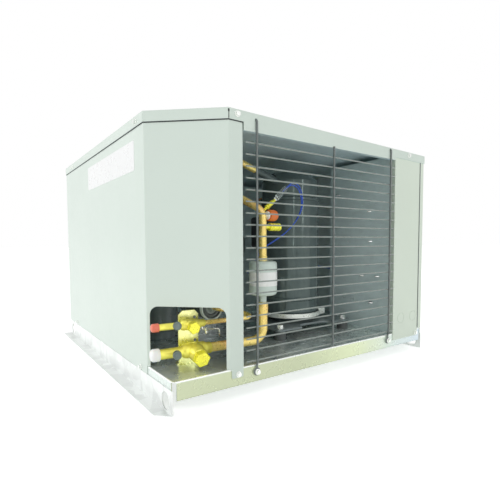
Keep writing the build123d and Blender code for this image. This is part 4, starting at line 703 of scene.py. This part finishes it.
def cut_plate(name, outline, holes, thick, place, look):
    """A flat plate with round holes. Corners are in millimetres in the plane given by place."""
    curve = bpy.data.curves.new(name + "_outline", "CURVE")
    curve.dimensions = "2D"
    curve.fill_mode = "BOTH"
    curve.extrude = thick / 2000
    rings = [outline]
    for x, y, radius in holes:
        rings.append([(x + radius * math.cos(a * math.pi / 14), y + radius * math.sin(a * math.pi / 14))
                      for a in range(28)])
    for ring in rings:
        spline = curve.splines.new("POLY")
        spline.points.add(len(ring) - 1)
        for control, (x, y) in zip(spline.points, ring):
            control.co = (x / 1000, y / 1000, 0, 1)
        spline.use_cyclic_u = True
    drawn = bpy.data.objects.new(name + "_outline", curve)
    mesh = bpy.data.meshes.new_from_object(drawn)
    bpy.data.objects.remove(drawn)
    bpy.data.curves.remove(curve)
    mesh.name = name
    mesh.transform(place)
    mesh.materials.clear()
    mesh.materials.append(look.material)
    return seated(bpy.data.objects.new(name, mesh))


def plane_at(origin, x_way, y_way):
    """The transform that lays a drawing's X and Y along two directions."""
    x_way, y_way = x_way.normalized(), y_way.normalized()
    axes = Matrix((x_way, y_way, x_way.cross(y_way))).transposed().to_4x4()
    return Matrix.Translation(origin) @ axes


bracket_face = at(71, 62, 59.2) + BACK * 0.02125
upright = cut_plate(
    "bracket_upright",
    ((-21, 0), (21, 0), (21, 99.5), (13, 107.8), (-12.5, 107.8), (-21, 99.3)),
    ((13.2, 92.8, 3.1), (13.8, 46.8, 3.1)), 2.5, plane_at(bracket_face, RUN, UP), bracket_zinc,
)
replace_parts(upright, "valve_bracket")
cut_plate(
    "bracket_foot",
    ((-21, 1.3), (21, 1.3), (21, 18), (17, 22), (-17, 22), (-21, 18)),
    (), 2.5, plane_at(at(71, 62, 60.45) + BACK * 0.02, RUN, BACK), bracket_zinc,
)

# Suction filter, its joints, the switch tee and its leads

RISER_X = 233
RISER_Y = 48.18
RISER = at(RISER_X, RISER_Y)
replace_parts(new_piece(
    "spun_filter_shell",
    lambda bm: spin(bm, RISER, UP, ((172, 0), (172, 7.4), (185.6, 7.6), (187, 9), (187.6, 12), (188, 22), (189.5, 27),
                                    (193, 29.6), (197, 30), (252, 30), (256, 29.6), (259.5, 27), (261, 22),
                                    (261.4, 12), (261.8, 9.6), (262, 0)), 72),
    filter_enamel), "suction_filter")
new_piece(
    "filter_joints",
    lambda bm: (spin(bm, RISER, UP, ((150, 9.5), (150.2, 10.8), (171, 10.9), (172.4, 10.2), (172.6, 7.5))),
                spin(bm, RISER, UP, ((260, 9.2), (270, 9.2), (271, 8.6), (271.4, 8.0), (284, 8.0)))),
    copper_painted_light,
)
new_piece(
    "bare_filter_band",
    lambda bm: curved_band(bm, RISER.x, RISER.y, 0.03005, 0.0003, 0.209, 0.238, 168, 330),
    band_white,
)

SWITCH = at(RISER_X, RISER_Y, 357.5)
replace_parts(new_piece(
    "capped_pressure_switch",
    lambda bm: spin(bm, SWITCH, (1, 0, 0), ((14, 0), (14, 9.5), (15, 11.4), (17.5, 12.2), (28, 12.2), (33, 11),
                                            (36.6, 8), (38.4, 4), (38.6, 0))),
    switch_plastic), "pressure_switch")
new_piece(
    "switch_collar",
    lambda bm: spin(bm, SWITCH, (1, 0, 0), ((6, 0), (6, 4.6), (9, 4.6), (9.4, 8.4), (13.6, 8.8), (14.2, 8.4),
                                            (14.2, 0))),
    white_plastic,
)

TEE = at(RISER_X, RISER_Y, 366)
TEE_WAY = Vector((0.80, 0.05, 0.60)).normalized()
TEE_END = TEE + TEE_WAY * 0.042
BOOT_WAY = Vector((0.77, 0.06, 0.63)).normalized()
BACKWARD = Vector((0, 1, 0))
BOOT_SIDE = BOOT_WAY.cross(BACKWARD).normalized()
BOOT_STEPS = 40
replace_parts(new_piece(
    "switch_tee_fitting",
    lambda bm: (spin(bm, TEE, TEE_WAY, ((5, 0), (5, 2.8), (13, 2.8), (13.4, 5.4), (17, 5.4), (17.4, 3.6),
                                        (19.6, 3.6)), 6),
                spin(bm, TEE, TEE_WAY, ((18, 3.2), (19.4, 5.0), (35, 5.0), (36.4, 4.2), (38, 3.2), (42, 3.2),
                                        (42, 0)), 32)),
    brass_turned), "switch_tee")


def terminal_blades(bm):
    """Three push-on blades that splay out of the switch's end."""
    for lean in (-0.42, 0.0, 0.42):
        way = (BOOT_WAY + BOOT_SIDE * lean).normalized()
        across = way.cross(BACKWARD).normalized() * 0.0016
        thick = BACKWARD * 0.0005
        root, tip = TEE_END - TEE_WAY * 0.003, TEE_END + way * 0.013
        rows = []
        for place, wide in ((root, 0.7), (root.lerp(tip, 0.55), 1.3), (tip, 0.8)):
            rows.append([bm.verts.new(place + across * a * wide + thick * b) for a, b in SQUARE])
        tube(bm, rows)


new_piece("switch_terminals", terminal_blades, white_plastic)


def clear_boot(bm):
    """An oval sleeve over the terminals, open at both ends."""
    rows = []
    for along, swell in ((0.004, 0.9), (0.008, 1.0), (0.040, 1.0), (0.044, 0.86), (0.046, 0.82)):
        ring = []
        for step in range(BOOT_STEPS):
            angle = 2 * math.pi * step / BOOT_STEPS
            reach = BOOT_SIDE * math.cos(angle) * 0.0068 + BACKWARD * math.sin(angle) * 0.0046
            ring.append(bm.verts.new(TEE_END + BOOT_WAY * along + reach * swell))
        rows.append(ring)
    bridge(bm, rows)


boot = new_piece("terminal_boot", clear_boot, clear_vinyl)
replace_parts(boot, "switch_connector")
skin = boot.modifiers.new("wall", "SOLIDIFY")
skin.thickness = 0.0006

LEAD_POINTS = (
    (291, 52.4, 411), (303, 53.4, 421), (322, 55.5, 434), (345, 59, 429), (360, 64, 408), (366, 70, 379),
    (356, 79, 350), (335, 88, 325), (308, 98, 305), (284, 112, 289), (273, 130, 260), (296, 164, 230),
    (330, 202, 216), (360, 248, 212), (372, 298, 212), (400, 342, 217), (452, 362, 229), (512, 356, 228),
    (570, 330, 226), (618, 305, 225), (664, 284, 220), (690, 252, 213), (690, 200, 212),
)
LEAD_RADIUS = 0.00135
for strand, (shift_x, shift_y, shift_z) in enumerate(((0.6, -1.0, 1.2), (-0.8, 1.0, -1.6))):
    # The second lead hangs further below the first round the loop's top
    lead(
        f"switch_lead_{strand + 1}",
        [at(x + shift_x, y + shift_y, z + shift_z * (2.2 if strand and 1 < i < 5 else 1.0))
         for i, (x, y, z) in enumerate(LEAD_POINTS)],
        LEAD_RADIUS, blue_pvc, "blue_lead", "switch_leads",
    )

# Capillary tube with its flare nut

CAPILLARY_POINTS = (
    (92, 60.4, 137), (92, 60.4, 130.5), (96, 60.4, 128.8), (110, 60.2, 128.4), (126, 60.2, 127.4), (130.5, 60.4, 126),
    (131.6, 61, 119), (133, 63, 112), (136, 72, 104), (134, 100, 84), (131, 128, 64), (131, 150, 60.6),
    (129, 190, 60.5), (126, 240, 60.5), (118, 293, 60.6),
)
CAPILLARY_RADIUS = 0.0013
lead("flare_capillary", [at(*point) for point in CAPILLARY_POINTS], CAPILLARY_RADIUS, screw_zinc, "zinc_screw",
     "capillary_tube")
new_piece(
    "capillary_nut",
    lambda bm: (spin(bm, at(98.4, 60.4, 128.6), (1, 0, -0.05), ((0, 0), (0, 3.0), (0.8, 3.8), (5.4, 3.8),
                                                                (6.2, 3.0), (9, 1.9), (9, 0)), 6),
                spin(bm, at(101.2, 60.4, 132.5), (0, 0, -1), ((0, 0), (0, 2.0), (4, 2.6), (9, 2.6), (12, 1.6),
                                                              (12, 0)), 20)),
    screw_zinc,
)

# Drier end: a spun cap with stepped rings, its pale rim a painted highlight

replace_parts(new_piece(
    "spun_drier",
    lambda bm: spin(bm, DRIER, (0, 1, 0), ((112, 0), (112, 6.6), (121, 7), (124.5, 8), (125.6, 11), (125.2, 14),
                                           (123, 15.4), (122.6, 18), (124.6, 20), (124.4, 21.2), (120.6, 22.6),
                                           (119.6, 24.4), (120, 26), (122, 26.6), (228, 26.6), (233, 24), (235, 18),
                                           (236, 8), (238, 7), (243, 6.6), (243, 0)), 72),
    drier_enamel), "filter_drier")

# Raised tongues on the control box's wall

WALL_X = 627.2


TONGUES = ((192.0, 438.6), (81.5, 384.0), (77.0, 302.0), (104.0, 205.5), (52.0, 206.6), (73.0, 132.5))


def box_tongues(bm):
    """Sheared tongues that rise from the wall towards the rear."""
    for y, z in TONGUES:
        rows = []
        for along, lift in ((-7.5, 0.05), (-4.5, 1.7), (-1.5, 3.4), (1.5, 5.0), (3.5, 5.2), (5.5, 3.0), (7.0, 0.05)):
            rows.append([
                bm.verts.new(at(WALL_X - lift - inner, y + along, z + across))
                for inner, across in ((0, -1.7), (0.2, -1.2), (0.2, 1.2), (0, 1.7))
            ])
        bridge(bm, rows, closed=False)


tongues = new_piece("box_wall_tongues", box_tongues, tongue_zinc_painted_glint)
skin = tongues.modifiers.new("sheet", "SOLIDIFY")
skin.thickness = 0.0004

# Stage: pale floor, white background, soft lamps

FLOOR_REACH = 30.0
FLOOR_DROP = 0.0005
FLOOR_GLOW = 0.55
DIFFUSE_LIGHT = 0.72


def stage_floor():
    """A wide pale floor that looks near white to the camera and in reflections, and keeps its shadows."""
    mesh = bpy.data.meshes.new("stage_floor")
    bm = bmesh.new()
    bm.faces.new([bm.verts.new((a * FLOOR_REACH, b * FLOOR_REACH, -FLOOR_DROP)) for a, b in SQUARE])
    bm.to_mesh(mesh)
    bm.free()
    floor = bpy.data.objects.new("stage_floor", mesh)
    bpy.context.collection.objects.link(floor)
    material = bpy.data.materials.new("stage_floor")
    material.use_nodes = True
    tree = material.node_tree
    shader = tree.nodes["Principled BSDF"]
    shader.inputs["Base Color"].default_value = (0.86, 0.87, 0.86, 1)
    shader.inputs["Roughness"].default_value = 0.7
    glow = tree.nodes.new("ShaderNodeEmission")
    glow.inputs["Color"].default_value = (1, 1, 1, 1)
    ray = tree.nodes.new("ShaderNodeLightPath")
    both = tree.nodes.new("ShaderNodeMath")
    both.operation = "MAXIMUM"
    tree.links.new(ray.outputs["Is Camera Ray"], both.inputs[0])
    tree.links.new(ray.outputs["Is Glossy Ray"], both.inputs[1])
    part = tree.nodes.new("ShaderNodeMath")
    part.operation = "MULTIPLY"
    part.inputs[1].default_value = FLOOR_GLOW
    tree.links.new(both.outputs[0], part.inputs[0])
    tree.links.new(part.outputs[0], glow.inputs["Strength"])
    total = tree.nodes.new("ShaderNodeAddShader")
    tree.links.new(shader.outputs[0], total.inputs[0])
    tree.links.new(glow.outputs[0], total.inputs[1])
    tree.links.new(total.outputs[0], tree.nodes["Material Output"].inputs["Surface"])
    mesh.materials.append(material)


stage_floor()

world = bpy.data.worlds.new("studio")
bpy.context.scene.world = world
world.use_nodes = True
tree = world.node_tree
background = tree.nodes["Background"]
background.inputs["Color"].default_value = (1, 1, 1, 1)
ray = tree.nodes.new("ShaderNodeLightPath")
seen = tree.nodes.new("ShaderNodeMath")
seen.operation = "MAXIMUM"
tree.links.new(ray.outputs["Is Camera Ray"], seen.inputs[0])
tree.links.new(ray.outputs["Is Glossy Ray"], seen.inputs[1])
clear = tree.nodes.new("ShaderNodeMath")
clear.operation = "MAXIMUM"
tree.links.new(seen.outputs[0], clear.inputs[0])
tree.links.new(ray.outputs["Is Transmission Ray"], clear.inputs[1])
strength = tree.nodes.new("ShaderNodeMapRange")
strength.inputs["To Min"].default_value = DIFFUSE_LIGHT
strength.inputs["To Max"].default_value = 1.0
tree.links.new(clear.outputs[0], strength.inputs["Value"])
tree.links.new(strength.outputs["Result"], background.inputs["Strength"])


def soft_lamp(name, place, target, size, power, colour=(1, 1, 1)):
    """A rectangular area lamp turned to a target. Sizes are in metres, power in watts."""
    lamp = bpy.data.lights.new(name, "AREA")
    lamp.shape = "RECTANGLE"
    lamp.size, lamp.size_y = size
    lamp.energy = power
    lamp.color = colour
    holder = bpy.data.objects.new(name, lamp)
    holder.location = place
    holder.rotation_euler = (Vector(target) - Vector(place)).to_track_quat("-Z", "Y").to_euler()
    bpy.context.collection.objects.link(holder)


soft_lamp("key", (-3.9, 1.2, 1.9), (0, 0, 0.3), (2.4, 2.2), 54, (1.0, 0.955, 1.0))
soft_lamp("front_left", (-1.5, -3.6, 1.3), (0, 0, 0.25), (0.12, 2.2), 6)
soft_lamp("front_right", (0.9, -3.9, 1.5), (0, 0, 0.25), (0.2, 2.2), 12)
soft_lamp("top", (0.2, 0.2, 3.6), (0, 0, 0.3), (3.0, 3.0), 9)

# Camera, at the photograph's place

CAMERA_AT = at(-278, -620, 299)
HEADING, PITCH, ROLL = (math.radians(a) for a in (35.52, -3.22, -0.24))
ahead = Vector((math.sin(HEADING) * math.cos(PITCH), math.cos(HEADING) * math.cos(PITCH), math.sin(PITCH)))
level = Vector((math.cos(HEADING), -math.sin(HEADING), 0))
upward = level.cross(ahead)
right = level * math.cos(ROLL) + upward * math.sin(ROLL)
up = upward * math.cos(ROLL) - level * math.sin(ROLL)
camera_data = bpy.data.cameras.new("camera")
SENSOR = 36.0
PICTURE_PIXELS = 500
FOCAL_PIXELS = 395.4
camera_data.sensor_width = SENSOR
camera_data.lens = SENSOR * FOCAL_PIXELS / PICTURE_PIXELS
camera_data.shift_x = 0.0002
camera_data.shift_y = 0.0304
camera_data.clip_start = 0.01
camera_data.clip_end = 100.0
camera = bpy.data.objects.new("camera", camera_data)
camera.matrix_world = Matrix.Translation(CAMERA_AT) @ Matrix((right, up, -ahead)).transposed().to_4x4()
bpy.context.collection.objects.link(camera)
bpy.context.scene.camera = camera
bpy.context.scene.view_settings.view_transform = "Standard"
